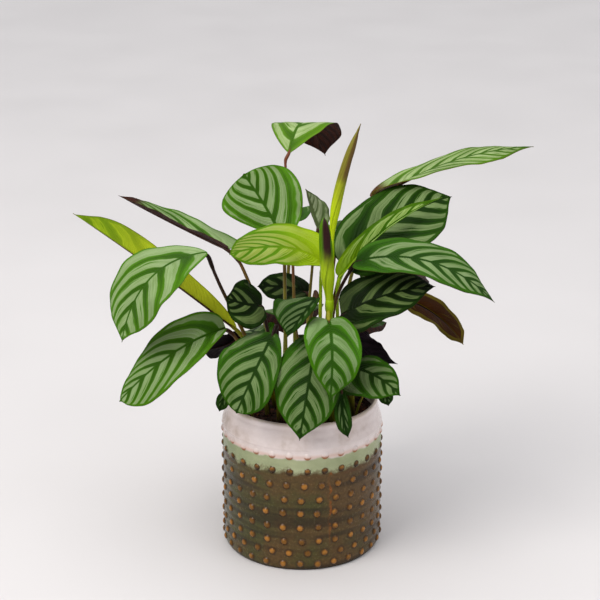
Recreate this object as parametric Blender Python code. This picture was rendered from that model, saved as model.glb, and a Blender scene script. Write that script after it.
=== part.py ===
"""Potted ctenanthe: a glazed hobnail pot, its soil, and 35 leaves that stand in the soil.

Every length below is in millimetres and every angle in degrees. The pot's axis is Z, its foot
stands on Z = 0, and the plant is seen from -Y with +X to the right.
"""

import math
from dataclasses import dataclass
from enum import Enum

import bpy
import numpy as np

MM = 0.001
GAP = 0.3

# Pot: one turned wall whose outside carries rows of small raised knobs
POT_HEIGHT = 135.0
POT_RADIUS = 69.5
POT_COLUMNS = 29
FIRST_COLUMN_ANGLE = -95.0
FOOT_RADIUS = 66.5
HEEL_HEIGHT = 3.2
SHOULDER_HEIGHT = 112.6
KNOB_RADIUS = 2.7
KNOB_HEIGHT = 1.7
KNOB_CORNERS = (-150, -90, -30, 30, 90, 150)
KNOB_ROW_HEIGHTS = (6.2, 16.4, 27.6, 40.6, 54.0, 66.6, 80.0, 93.4, 107.4)
KNOB_ROW_TURNS = (-2.6, 2.4, -1.6, -2.2, -2.6, -1.6, 0.6, 2.6, 2.4)
KNOB_JITTER = 0.45
KNOB_SEED = 7
COLLAR_PROFILE = ((70.1, 113.6), (69.2, 117.0), (67.2, 122.6), (65.9, 129.0),
                  (66.3, 132.6), (65.4, POT_HEIGHT), (63.5, POT_HEIGHT), (62.6, 132.6))
INNER_PROFILE = ((62.6, 124.0), (65.4, 110.0), (65.4, 12.0), (62.6, 7.0))
FLOOR_HEIGHT = 5.5

# Soil: it fills the pot to just under the neck
SOIL_TOP = 120.0
SOIL_RINGS = (0.22, 0.44, 0.66, 0.86)
SOIL_COLUMNS = 24
SOIL_RELIEF = 0.9
SOIL_FIT = 0.994
SOIL_SEED = 11

# Stalks: each foot stands in a plain blind hole in the soil
FOOT_DEPTH = 14.0
FOOT_SWELL = 1.25
STALK_TAPER = 0.3
FIRST_LEAN = 0.1
FIRST_RISE = 0.4
KNEE_RISE = 0.3
JOINT_SETBACK = 0.12
JOINT_SWELL = 1.1
NEARLY_LEVEL = 0.97
STALK_SIDES = 6
STALK_STEPS = 6
HOLE_SIDES = 6

# Blades
BLADE_THICKNESS = 0.75
BLADE_ROWS = (0.0, 0.025, 0.09, 0.2, 0.36, 0.54, 0.72, 0.87, 0.955, 1.0)
SHORT_BLADE_ROWS = (0.0, 0.03, 0.12, 0.32, 0.56, 0.8, 0.94, 1.0)
BLADE_COLUMNS = (-1.0, -0.5, 0.0, 0.5, 1.0)
SPEAR_SIDES = 10
TIP_START = 0.965
TIP_SPAN = 0.06
TIP_RADIUS = 1.5
TIP_END = 0.35
BASE_SHARE = 0.9
RIB_SHARE = 0.9
FULL_WAVE_SHARE = 0.25
WAVE_COUNT = 2
HALF_WAVE_SHIFT = 0.31
LOBE_FADE = 8
SPEAR_TIP_RADIUS = 0.4


class Tone(Enum):
    """Leaf colours (linear RGB) and their roughness."""

    MATURE = ((0.045, 0.13, 0.035), 0.42)
    LIME = ((0.22, 0.36, 0.045), 0.4)


@dataclass(frozen=True)
class Leaf:
    """One leaf: a stalk from the soil to the joint, and a blade from there to the tip.

    Args:
        name: Name of the leaf's node.
        root: Place in plan where the stalk leaves the soil.
        knee: Where the stalk bends into the short thick piece that holds the blade.
        joint: Where the blade starts.
        tip: Where the blade ends.
        bow: How far the middle of the midrib lies from the straight line between its ends.
        width: Full width of the blade.
        face: Way the upper face looks at the joint.
        face_tip: Way the upper face looks at the tip, where it differs.
        rise: Angle at which the left and the right half leave the midrib, seen on the upper
            face with the tip pointing away.
        rise_tip: The same at the tip, where it differs.
        curl: Angle that each half turns through from the midrib to its edge.
        halves: Width of each half as a share of half the width.
        shape: Powers that round the outline at the base and at the tip.
        right_shape: The same for the right half, where it differs.
        ripple: Height of the waves along the edge.
        lobe: How far the base of the blade reaches back past the joint.
        stalk: Radius of the stalk.
        lean: How early the stalk leans towards the knee, where 1 is late.
        rolled: Whether the blade is still rolled up as a spear.
        tone: Colour of the leaf.
    """

    name: str
    root: tuple[float, float]
    knee: tuple[float, float, float]
    joint: tuple[float, float, float]
    tip: tuple[float, float, float]
    bow: tuple[float, float, float]
    width: float
    face: tuple[float, float, float]
    face_tip: tuple[float, float, float] | None = None
    rise: tuple[float, float] = (8, 8)
    rise_tip: tuple[float, float] | None = None
    curl: tuple[float, float] = (-14, -14)
    halves: tuple[float, float] = (1.0, 1.0)
    shape: tuple[float, float] = (0.42, 0.48)
    right_shape: tuple[float, float] | None = None
    ripple: float = 1.2
    lobe: float = 4.0
    stalk: float = 1.5
    lean: float = 0.45
    rolled: bool = False
    tone: Tone = Tone.MATURE


# The tall leaves, from the left round to the right
CROWN_LEAVES = (
    Leaf("leaf_01_left_broad", root=(-30, 2), knee=(-75, -8, 253), joint=(-79, -18, 271),
          tip=(-149, -52, 204), bow=(-11, -5, 18), width=74, face=(-0.3, -0.2, 0.95),
          face_tip=(-0.8, -0.55, 0.3), rise=(10, 4), rise_tip=(0, 8), curl=(-26, -8), halves=(0.85, 1.12),
          shape=(0.62, 0.48), lobe=0, lean=0.3, tone=Tone.LIME),
    Leaf("leaf_02_left_rolled", root=(-24, 10), knee=(-51, 8, 185), joint=(-57, 8, 193),
          tip=(-195, 24, 292), bow=(4, -2, 0), width=34, face=(0.45, 0.5, 0.75), rise=(60, 60), curl=(10, 10),
          shape=(0.55, 0.25), ripple=0.3, lobe=0, tone=Tone.LIME),
    Leaf("leaf_03_upper_left", root=(-16, 2), knee=(-53, 14, 252), joint=(-63, 12, 264),
          tip=(-158, 44, 302), bow=(-2, 6, -2), width=50, face=(0.05, -0.15, 1.0), rise=(45, 0),
          curl=(10, -8), halves=(0.4, 1.0), shape=(0.2, 0.5), lobe=8),
    Leaf("leaf_04_lime_centre", root=(15, -8), knee=(16, 0, 246), joint=(19, 0, 255),
          tip=(-60, -30, 273), bow=(4, -1, 11), width=46, face=(-0.1, -0.55, 0.85), rise=(12, 20),
          rise_tip=(-6, 4), curl=(-10, -12), halves=(0.8, 1.15), shape=(0.6, 0.4), right_shape=(0.16, 0.42),
          lobe=0, tone=Tone.LIME),
    Leaf("leaf_05_top", root=(-6, 46), knee=(-15, 54, 330), joint=(-11, 57, 336),
          tip=(21, 120, 317), bow=(-3, 2, 28), width=62, face=(-0.1, 0.0, 1.0), rise=(4, 4), curl=(-10, -10),
          shape=(0.8, 0.6), lobe=0, stalk=1.2, lean=0.9),
    Leaf("leaf_06_upper_round", root=(-14, 12), knee=(-15, 12, 260), joint=(-15, 13, 270),
          tip=(-50, 42, 322), bow=(2, 2, -1), width=72, face=(-0.3, -0.55, 0.8), rise=(6, 6), curl=(-14, -14),
          halves=(0.9, 1.0), shape=(1.3, 0.36), right_shape=(0.7, 0.4), lobe=0),
    Leaf("leaf_07_spear_tall", root=(24, 10), knee=(25, 8, 254), joint=(25, 8, 273),
          tip=(49, 18, 372), bow=(-4, -1, 0), width=9, face=(0.3, -0.9, 0.1), rolled=True, shape=(0.3, 0.45),
          stalk=2.0, tone=Tone.LIME),
    Leaf("leaf_08_spear_short", root=(24, -24), knee=(23, -26, 221), joint=(23, -26, 232),
          tip=(18, -26, 304), bow=(0, 0, 1), width=12, face=(0.1, -0.95, 0.1), rolled=True,
          shape=(0.12, 0.22), stalk=3.0, tone=Tone.LIME),
    Leaf("leaf_09_small_back", root=(2, 16), knee=(11, 18, 270), joint=(14, 18, 280),
          tip=(3, 30, 312), bow=(0, 0, 1), width=25, face=(0.3, -0.5, 0.8), rise=(10, 10), curl=(-10, -10),
          halves=(0.2, 1.2), shape=(0.4, 0.9), lobe=0, stalk=1.2),
    Leaf("leaf_10_top_right", root=(28, 46), knee=(59, 64, 282), joint=(63, 67, 292),
          tip=(205, 98, 331), bow=(-1, 2, 10), width=48, face=(-0.05, 0.0, 1.0), rise=(6, 74),
          rise_tip=(6, -24), curl=(-10, -16), halves=(1.0, 0.85), shape=(0.34, 0.7), lobe=3),
    Leaf("leaf_11_right_oval", root=(16, 20), knee=(31, 12, 236), joint=(36, 14, 247),
          tip=(130, 54, 298), bow=(0, 2, 10), width=68, face=(-0.1, -0.6, 0.78), rise=(32, 8),
          rise_tip=(-2, 8), curl=(-10, -10), halves=(1.0, 1.15), shape=(0.36, 0.5), lobe=0),
    Leaf("leaf_12_lime_narrow", root=(32, 12), knee=(30, 9, 228), joint=(32, 8, 240),
          tip=(120, 35, 303), bow=(-5, -4, 8), width=24, face=(0.0, -0.4, 0.85), rise=(55, 45), curl=(5, 5),
          shape=(0.34, 0.8), ripple=0.4, lobe=0, tone=Tone.LIME),
    Leaf("leaf_13_right_arching", root=(26, 2), knee=(40, -5, 249), joint=(45, -9, 260),
          tip=(158, -52, 239), bow=(4, -8, 20), width=53, face=(0.1, -0.3, 0.95), rise=(34, 0),
          rise_tip=(0, 6), curl=(-18, -10), halves=(1.0, 0.88), shape=(0.36, 0.55), lobe=2, lean=1.6),
    Leaf("leaf_14_right_dark", root=(34, -20), knee=(30, -20, 205), joint=(33, -21, 216),
          tip=(110, -41, 249), bow=(-2, -2, 6), width=62, face=(0.05, -0.45, 0.9), rise=(18, 8),
          rise_tip=(0, 8), curl=(-10, -14), halves=(0.95, 1.0), shape=(0.24, 0.55), lobe=0),
    Leaf("leaf_15_right_under", root=(42, 4), knee=(61, 6, 220), joint=(71, 6, 226),
          tip=(138, -10, 185), bow=(6, 4, 6), width=42, face=(0.45, 0.7, 0.5), rise=(4, 4), curl=(-10, -10),
          halves=(0.8, 1.05), shape=(0.4, 0.36), lobe=0),
    Leaf("leaf_16_left_low", root=(-30, -10), knee=(-58, -10, 194), joint=(-65, -10, 200),
          tip=(-152, -62, 155), bow=(0, -6, 12), width=52, face=(-0.1, -0.7, 0.7),
          face_tip=(-0.2, -0.35, 0.9), rise=(60, 40), rise_tip=(-10, -6), curl=(-12, -12),
          shape=(0.6, 0.3), right_shape=(0.25, 0.55), lobe=0),
)

# The leaves that hang over the front of the pot
FRONT_LEAVES = (
    Leaf("leaf_17_front_left_round", root=(-20, -22), knee=(-21, -20, 208), joint=(-24, -26, 202),
          tip=(-54, -82, 153), bow=(2, -12, 10), width=70, face=(-0.25, -0.7, 0.6),
          face_tip=(-0.25, -0.9, 0.25), rise=(4, 4), curl=(-16, -14), halves=(0.6, 1.0),
          shape=(0.7, 0.3), right_shape=(0.3, 0.42), lobe=9),
    Leaf("leaf_18_front_centre", root=(6, -28), knee=(15, -30, 211), joint=(13, -37, 205),
          tip=(-2, -85, 130), bow=(0, -15, 10), width=61, face=(-0.2, -0.8, 0.45),
          face_tip=(-0.1, -0.95, 0.15), rise=(4, 4), curl=(-12, -10), halves=(0.9, 0.95), shape=(0.44, 0.56)),
    Leaf("leaf_19_front_bright", root=(16, -31), knee=(22, -35, 226), joint=(22, -41, 220),
          tip=(23, -93, 170), bow=(2, -13, 11), width=49, face=(0.05, -0.75, 0.6),
          face_tip=(0.05, -0.95, 0.2), rise=(4, 6), curl=(-10, -20), halves=(1.0, 0.92),
          shape=(0.44, 0.54), right_shape=(0.3, 0.7), lobe=9),
    Leaf("leaf_20_right_front_small", root=(36, -26), knee=(36, -36, 178), joint=(43, -42, 177),
          tip=(81, -76, 166), bow=(1, -5, 6), width=44, face=(0.15, -0.7, 0.7), rise=(6, 6), curl=(-12, -20),
          halves=(0.8, 1.22), shape=(0.24, 0.7), lobe=2),
    Leaf("leaf_21_right_purple", root=(44, -8), knee=(38, -8, 202), joint=(41, -10, 196),
          tip=(81, -26, 174), bow=(-5, 0, -3), width=38, face=(0.6, -0.4, 0.7), rise=(10, 10),
          curl=(-10, -10), halves=(1.0, 0.85), shape=(0.42, 0.85)),
    Leaf("leaf_23_centre_hanging", root=(0, -14), knee=(11, -19, 238), joint=(13, -26, 234),
          tip=(-12, -58, 211), bow=(2, -4, 6), width=54, face=(-0.35, -0.6, 0.7), rise=(6, 6),
          curl=(-10, -10), halves=(0.22, 1.15), shape=(0.4, 0.42), lobe=2),
)

# The smallest leaves, inside the crown and at the rim, and those at the back
SMALL_AND_BACK_LEAVES = (
    Leaf("leaf_22_rim_right", root=(28, -42), knee=(31, -68, 171), joint=(33, -72, 167),
          tip=(38, -88, 134), bow=(-2, -4, 2), width=14, face=(0.1, -0.95, 0.2), rise=(4, 4), curl=(-12, -12),
          shape=(0.42, 0.42), ripple=0.4, lobe=1, stalk=1.0),
    Leaf("leaf_24_left_dark", root=(-18, -10), knee=(-32, -8, 210), joint=(-34, -10, 221),
          tip=(-64, -26, 234), bow=(0, 0, -2), width=44, face=(-0.2, -0.7, 0.6), rise=(6, 6), curl=(-10, -10),
          shape=(0.42, 0.6)),
    Leaf("leaf_25_back_dark", root=(7, 42), knee=(8, 57, 200), joint=(5, 59, 208),
          tip=(-40, 69, 210), bow=(0, 1, 2), width=26, face=(-0.1, -0.8, 0.5), rise=(6, 6), curl=(-10, -10),
          shape=(0.42, 0.5)),
    Leaf("leaf_26_left_under", root=(-38, 22), knee=(-47, 22, 175), joint=(-53, 21, 181),
          tip=(-86, 10, 172), bow=(0, 0, -2), width=34, face=(-0.2, 0.8, 0.6), rise=(6, 6), curl=(-10, -10),
          shape=(0.42, 0.35), lobe=0),
    Leaf("leaf_27_rim_left", root=(-42, -22), knee=(-60, -46, 162), joint=(-62, -50, 160),
          tip=(-69, -62, 146), bow=(0, -2, 2), width=12, face=(-0.3, -0.9, 0.2), rise=(4, 4), curl=(-12, -12),
          shape=(0.42, 0.42), ripple=0.3, lobe=1, stalk=0.9),
    Leaf("leaf_28_rim_right_nub", root=(46, -20), knee=(62, -28, 162), joint=(65, -32, 158),
          tip=(73, -46, 144), bow=(1, -2, 1), width=15, face=(0.4, -0.7, 0.5), rise=(4, 4), curl=(-12, -12),
          shape=(0.42, 0.5), ripple=0.3, lobe=1, stalk=0.9),
    Leaf("leaf_29_back_left", root=(-16, 56), knee=(-10, 86, 256), joint=(-10, 93, 262),
          tip=(-28, 150, 234), bow=(0, 0, 14), width=54, face=(-0.2, 0.3, 0.9), rise=(8, 8),
          curl=(-14, -14)),
    Leaf("leaf_30_back", root=(0, 46), knee=(-6, 60, 176), joint=(-8, 68, 182),
          tip=(-14, 138, 136), bow=(0, 6, 14), width=62, face=(-0.1, 0.5, 0.8), rise=(8, 8),
          curl=(-14, -14)),
    Leaf("leaf_31_back_right", root=(38, 24), knee=(55, 35, 220), joint=(62, 38, 224),
          tip=(106, 86, 202), bow=(0, 0, 16), width=58, face=(0.3, 0.3, 0.9), rise=(8, 8),
          curl=(-14, -14)),
    Leaf("leaf_32_back_low_left", root=(-30, 26), knee=(-33, 42, 162), joint=(-38, 48, 168),
          tip=(-62, 108, 136), bow=(0, 0, 12), width=48, face=(-0.3, 0.4, 0.8), rise=(8, 8),
          curl=(-14, -14)),
    Leaf("leaf_33_back_low", root=(16, 48), knee=(17, 62, 150), joint=(18, 70, 154),
          tip=(18, 128, 120), bow=(0, 6, 12), width=48, face=(0.0, 0.5, 0.8), rise=(8, 8),
          curl=(-14, -14)),
    Leaf("leaf_34_back_low_right", root=(42, 30), knee=(50, 40, 176), joint=(53, 46, 182),
          tip=(60, 110, 146), bow=(0, 4, 12), width=42, face=(0.3, 0.4, 0.8), rise=(8, 8),
          curl=(-14, -14)),
    Leaf("leaf_35_back_high", root=(18, 38), knee=(30, 72, 246), joint=(32, 80, 252),
          tip=(70, 136, 236), bow=(0, 0, 12), width=48, face=(0.1, 0.3, 0.9), rise=(8, 8),
          curl=(-14, -14)),
)


def clear_scene() -> None:
    """Remove every object, so that the file holds only the model."""
    for item in list(bpy.data.objects):
        bpy.data.objects.remove(item, do_unlink=True)


def plain_material(name: str, colour: tuple[float, float, float], roughness: float) -> bpy.types.Material:
    """Return a Principled material.

    Args:
        name: Name of the material.
        colour: Linear RGB base colour.
        roughness: Roughness from 0 to 1.
    """
    material = bpy.data.materials.new(name)
    material.use_nodes = True
    shader = material.node_tree.nodes["Principled BSDF"]
    shader.inputs["Base Color"].default_value = (*colour, 1.0)
    shader.inputs["Roughness"].default_value = roughness
    shader.inputs["Metallic"].default_value = 0.0
    material.diffuse_color = (*colour, 1.0)
    return material


def add_solid(name: str, points: np.ndarray, faces: list[tuple[int, ...]],
              material: bpy.types.Material | None = None, crease: float = 40.0) -> bpy.types.Object:
    """Add one closed solid to the scene.

    Args:
        name: Name of the object.
        points: Corner points in millimetres, one in each row.
        faces: Corners of each face, counted so that it looks outward.
        material: Material of the solid.
        crease: Angle above which an edge stays sharp.

    Returns:
        The new object.
    """
    mesh = bpy.data.meshes.new(name)
    mesh.from_pydata([tuple(float(value) * MM for value in point) for point in points], [], faces)
    mesh.validate()
    mesh.shade_smooth()
    mesh.set_sharp_from_angle(angle=math.radians(crease))
    if material is not None:
        mesh.materials.append(material)
    solid = bpy.data.objects.new(name, mesh)
    bpy.context.collection.objects.link(solid)
    return solid


def unit(vector: np.ndarray) -> np.ndarray:
    """Return the vector at length 1."""
    vector = np.asarray(vector, dtype=float)
    return vector / np.linalg.norm(vector)


class Shell:
    """Corner points and faces of a solid while it is put together ring by ring."""

    def __init__(self) -> None:
        self.points: list[np.ndarray] = []
        self.faces: list[tuple[int, ...]] = []

    def add_ring(self, ring: np.ndarray) -> list[int]:
        """Add the points of a closed ring and return their numbers."""
        start = len(self.points)
        self.points.extend(ring)
        return list(range(start, len(self.points)))

    def band(self, low: list[int], high: list[int]) -> None:
        """Join two rings of the same count with one quad for each side."""
        count = len(low)
        for i in range(count):
            j = (i + 1) % count
            self.faces.append((low[i], low[j], high[j], high[i]))

    def split_band(self, low: list[int], high: list[int]) -> None:
        """Join two rings of a blade with triangles that lie alike on its two faces."""
        count = len(low)
        for i in range(count):
            j = (i + 1) % count
            if count // 2 <= i < count - 1:
                self.faces.append((low[i], low[j], high[i]))
                self.faces.append((low[j], high[j], high[i]))
            else:
                self.faces.append((low[i], low[j], high[j]))
                self.faces.append((low[i], high[j], high[i]))

    def zip_band(self, low: list[int], high: list[int]) -> None:
        """Join two rings of unlike counts with triangles, starting from the nearest corners."""
        first = self.points[low[0]]
        reach = [float(np.linalg.norm(self.points[number] - first)) for number in high]
        start = reach.index(min(reach))
        high = high[start:] + high[:start]
        i = 0
        j = 0
        while i < len(low) or j < len(high):
            corner_low = low[i % len(low)]
            corner_high = high[j % len(high)]
            if j == len(high) or (i < len(low) and (i + 1) * len(high) <= (j + 1) * len(low)):
                i += 1
                self.faces.append((corner_low, low[i % len(low)], corner_high))
            else:
                j += 1
                self.faces.append((corner_low, high[j % len(high)], corner_high))

    def cap(self, ring: list[int], upward: bool) -> None:
        """Close a ring with one flat face."""
        self.faces.append(tuple(ring) if upward else tuple(reversed(ring)))

    def cap_strip(self, ring: list[int]) -> None:
        """Close the flat ring at a blade's tip with quads between its two faces."""
        count = len(ring)
        for i in range(count // 2 - 1):
            self.faces.append((ring[i], ring[i + 1], ring[count - 2 - i], ring[count - 1 - i]))

    def fan(self, ring: list[int], point: np.ndarray) -> None:
        """Close a ring with triangles that meet in a point."""
        middle = self.add_ring([point])[0]
        count = len(ring)
        for i in range(count):
            self.faces.append((ring[i], ring[(i + 1) % count], middle))

    def solid(self, name: str, material: bpy.types.Material | None = None,
              crease: float = 40.0) -> bpy.types.Object:
        """Add the finished shell to the scene as a solid."""
        return add_solid(name, np.array(self.points), self.faces, material, crease)


def turned_ring(radius: float, height: float, angles: np.ndarray) -> np.ndarray:
    """Return the points of a level ring about the Z axis."""
    return np.column_stack((radius * np.cos(angles), radius * np.sin(angles), np.full(len(angles), height)))


def band_edges() -> list[float]:
    """Return the heights between the rows of knobs, from the heel to the shoulder."""
    rows = KNOB_ROW_HEIGHTS
    inner = [(low + high) / 2 for low, high in zip(rows, rows[1:])]
    return [HEEL_HEIGHT, *inner, SHOULDER_HEIGHT]


def knob_cell(shell: Shell, corners: list[int], angle: float, height: float) -> None:
    """Raise one knob from the wall inside its cell.

    Args:
        shell: The pot's shell.
        corners: The six points round the cell, from its lower left and counterclockwise.
        angle: Where the knob's middle stands round the pot, in radians.
        height: Height of the knob's middle.
    """
    base = []
    for side in KNOB_CORNERS:
        around = angle + KNOB_RADIUS * math.cos(math.radians(side)) / POT_RADIUS
        up = height + KNOB_RADIUS * math.sin(math.radians(side))
        base.append((POT_RADIUS * math.cos(around), POT_RADIUS * math.sin(around), up))
    ring = shell.add_ring(np.array(base))
    shell.band(corners, ring)
    top = POT_RADIUS + KNOB_HEIGHT
    shell.fan(ring, np.array((top * math.cos(angle), top * math.sin(angle), height)))


def make_pot() -> bpy.types.Object:
    """Make the pot: foot, knobbed wall, pinched collar with a rolled lip, and the inside."""
    rng = np.random.default_rng(KNOB_SEED)
    pitch = 2 * math.pi / POT_COLUMNS
    angles = math.radians(FIRST_COLUMN_ANGLE) + np.arange(2 * POT_COLUMNS) * pitch / 2
    shell = Shell()
    foot = shell.add_ring(turned_ring(FOOT_RADIUS, 0.0, angles))
    shell.cap(foot, upward=False)
    edges = band_edges()
    low = shell.add_ring(turned_ring(POT_RADIUS, edges[0], angles))
    shell.band(foot, low)
    for row, height in enumerate(KNOB_ROW_HEIGHTS):
        high = shell.add_ring(turned_ring(POT_RADIUS, edges[row + 1], angles))
        for column in range(POT_COLUMNS):
            left = 2 * column
            right = (left + 2) % len(low)
            corners = [low[left], low[left + 1], low[right], high[right], high[left + 1], high[left]]
            shift = math.radians(KNOB_ROW_TURNS[row] + rng.uniform(-KNOB_JITTER, KNOB_JITTER))
            lift = rng.uniform(-KNOB_JITTER, KNOB_JITTER)
            knob_cell(shell, corners, angles[left + 1] + shift, height + lift)
        low = high
    for radius, height in COLLAR_PROFILE + INNER_PROFILE:
        high = shell.add_ring(turned_ring(radius, height, angles))
        shell.band(low, high)
        low = high
    floor = shell.add_ring(turned_ring(INNER_PROFILE[-1][0] - HEEL_HEIGHT, FLOOR_HEIGHT, angles))
    shell.band(low, floor)
    shell.cap(floor, upward=True)
    return shell.solid("pot", plain_material("glazed_stoneware", (0.13, 0.11, 0.08), 0.3), crease=35.0)


def make_soil(leaves: tuple[Leaf, ...]) -> bpy.types.Object:
    """Make the soil that fills the pot, with a plain blind hole for each stalk.

    Args:
        leaves: The leaves that stand in the soil.
    """
    rng = np.random.default_rng(SOIL_SEED)
    angles = np.arange(SOIL_COLUMNS) * 2 * math.pi / SOIL_COLUMNS
    shell = Shell()
    floor = FLOOR_HEIGHT + GAP
    side = [(radius - GAP, height) for radius, height in reversed(INNER_PROFILE[1:])]
    low = shell.add_ring(turned_ring(side[0][0] - HEEL_HEIGHT, floor, angles))
    shell.cap(low, upward=False)
    (neck, above), (shoulder, below) = INNER_PROFILE[:2]
    edge = shoulder + (neck - shoulder) * (SOIL_TOP - below) / (above - below)
    side.append((edge - GAP, SOIL_TOP))
    for radius, height in side:
        high = shell.add_ring(turned_ring(radius * SOIL_FIT, height, angles))
        shell.band(low, high)
        low = high
    rim = side[-1][0] * SOIL_FIT
    for share in reversed(SOIL_RINGS):
        ring = turned_ring(rim * share, SOIL_TOP, angles)
        ring[:, 2] += rng.uniform(-SOIL_RELIEF, SOIL_RELIEF, SOIL_COLUMNS)
        high = shell.add_ring(ring)
        shell.band(low, high)
        low = high
    shell.fan(low, np.array((0.0, 0.0, SOIL_TOP)))
    soil = shell.solid("soil", plain_material("potting_soil", (0.035, 0.018, 0.012), 0.9))
    holes = make_holes(leaves)
    cut = soil.modifiers.new("stem_holes", "BOOLEAN")
    cut.operation = "DIFFERENCE"
    cut.solver = "EXACT"
    cut.object = holes
    return soil


def make_holes(leaves: tuple[Leaf, ...]) -> bpy.types.Object:
    """Return the cutter for the stalks' holes: one upright prism round each foot."""
    shell = Shell()
    angles = np.arange(HOLE_SIDES) * 2 * math.pi / HOLE_SIDES
    bottom = SOIL_TOP - FOOT_DEPTH - GAP
    top = SOIL_TOP + FOOT_DEPTH
    for leaf in leaves:
        radius = (leaf.stalk * FOOT_SWELL + GAP) / math.cos(math.pi / HOLE_SIDES)
        centre = np.array((leaf.root[0], leaf.root[1], 0.0))
        low = shell.add_ring(turned_ring(radius, bottom, angles) + centre)
        high = shell.add_ring(turned_ring(radius, top, angles) + centre)
        shell.cap(low, upward=False)
        shell.band(low, high)
        shell.cap(high, upward=True)
    cutter = shell.solid("stem_hole_cutter")
    cutter.hide_render = True
    cutter.display_type = "WIRE"
    return cutter


def half_width(leaf: Leaf, t: float, side: int) -> float:
    """Return how far one half of the blade reaches from the midrib.

    Args:
        leaf: The leaf.
        t: Place along the midrib, from 0 at the joint to 1 at the tip.
        side: 0 for the left half and 1 for the right one.
    """
    p, q = leaf.right_shape if side and leaf.right_shape else leaf.shape
    u = min(max(t / TIP_START, 0.0), 1.0)
    peak = (p / (p + q)) ** p * (q / (p + q)) ** q
    body = 0.5 * leaf.width * u ** p * (1 - u) ** q / peak
    end = TIP_RADIUS * min(1.0, (1 - t) / TIP_SPAN) ** 0.5 + TIP_END
    return max(body, end)


def midrib(leaf: Leaf, t: float) -> tuple[np.ndarray, np.ndarray, np.ndarray, np.ndarray]:
    """Return a place on the midrib with its three directions: along, up from the face, and across."""
    joint = np.array(leaf.joint, dtype=float)
    tip = np.array(leaf.tip, dtype=float)
    bow = np.array(leaf.bow, dtype=float)
    place = (1 - t) * joint + t * tip + 4 * t * (1 - t) * bow
    along = unit(tip - joint + 4 * (1 - 2 * t) * bow)
    face = unit(leaf.face) * (1 - t) + unit(leaf.face_tip or leaf.face) * t
    up = unit(face - (face @ along) * along)
    return place, along, up, np.cross(along, up)


def blade_point(leaf: Leaf, t: float, s: float) -> np.ndarray:
    """Return a point of the blade's middle surface.

    Args:
        leaf: The leaf.
        t: Place along the midrib, from 0 to 1.
        s: Place across it, from -1 at the left edge to 1 at the right one.
    """
    place, along, up, across = midrib(leaf, t)
    side = 0 if s < 0 else 1
    m = abs(s)
    reach = max(half_width(leaf, t, side), leaf.stalk * BASE_SHARE)
    blend = t ** 0.5
    rise_tip = leaf.rise_tip or leaf.rise
    rise = math.radians(leaf.rise[side] * (1 - blend) + rise_tip[side] * blend)
    curl = math.radians(leaf.curl[side])
    out = (math.sin(rise + curl * m) - math.sin(rise)) / curl
    lift = (math.cos(rise) - math.cos(rise + curl * m)) / curl
    if reach > leaf.stalk:
        reach *= leaf.halves[side]
    spread = min(1.0, reach / (FULL_WAVE_SHARE * leaf.width))
    turn = 2 * math.pi * (WAVE_COUNT * t + HALF_WAVE_SHIFT * side)
    wave = leaf.ripple * m ** 2 * math.sin(turn) * spread
    back = leaf.lobe * m ** 1.5 * (1 - t) ** LOBE_FADE * spread
    return place + across * math.copysign(out * reach, s) + up * (lift * reach + wave) - along * back


def blade_rings(leaf: Leaf, rows: tuple[float, ...]) -> list[np.ndarray]:
    """Return the blade's closed rings, each with its upper face first and its underside after."""
    grid = np.array([[blade_point(leaf, t, s) for s in BLADE_COLUMNS] for t in rows])
    normals = np.cross(np.gradient(grid, axis=1), np.gradient(grid, axis=0))
    rings = []
    for i, t in enumerate(rows):
        up = midrib(leaf, t)[2]
        end = i in (0, len(rows) - 1)
        upper = []
        under = []
        for j, s in enumerate(BLADE_COLUMNS):
            normal = up if end else unit(normals[i, j])
            normal = normal if normal @ up > 0 else -normal
            rib = RIB_SHARE * leaf.stalk * (1 - t) if s == 0 else 0.0
            upper.append(grid[i, j] + normal * BLADE_THICKNESS / 2)
            under.append(grid[i, j] - normal * (BLADE_THICKNESS / 2 + rib))
        rings.append(np.array(upper + under[::-1]))
    return rings


def spear_rings(leaf: Leaf, rows: tuple[float, ...]) -> list[np.ndarray]:
    """Return the round rings of a leaf that is still rolled up."""
    angles = 2 * math.pi * np.arange(SPEAR_SIDES) / SPEAR_SIDES
    rings = []
    for t in rows:
        place, _, up, across = midrib(leaf, t)
        radius = max(half_width(leaf, t, 0), leaf.stalk * (1 - t) ** 0.5, SPEAR_TIP_RADIUS)
        rings.append(place + radius * (np.outer(np.cos(angles), across) - np.outer(np.sin(angles), up)))
    return rings


def stalk_path(leaf: Leaf) -> tuple[np.ndarray, list[float]]:
    """Return the points up the middle of the stalk, from its foot to the blade, and its radii."""
    root = np.array((*leaf.root, SOIL_TOP), dtype=float)
    knee = np.array(leaf.knee, dtype=float)
    joint = np.array(leaf.joint, dtype=float)
    run = np.array((knee[0] - root[0], knee[1] - root[1], 0.0))
    rise = np.array((0.0, 0.0, knee[2] - root[2]))
    first = root + FIRST_LEAN * run + FIRST_RISE * rise
    second = knee - leaf.lean * run - KNEE_RISE * rise
    path = [root - np.array((0.0, 0.0, FOOT_DEPTH))]
    radii = [leaf.stalk * FOOT_SWELL]
    for step in range(STALK_STEPS + 1):
        u = step / STALK_STEPS
        v = 1 - u
        path.append(v ** 3 * root + 3 * v * v * u * first + 3 * v * u * u * second + u ** 3 * knee)
        radii.append(leaf.stalk * (FOOT_SWELL - STALK_TAPER * u))
    path.append(joint - JOINT_SETBACK * (joint - knee))
    radii.append(leaf.stalk * JOINT_SWELL)
    return np.array(path), radii


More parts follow.
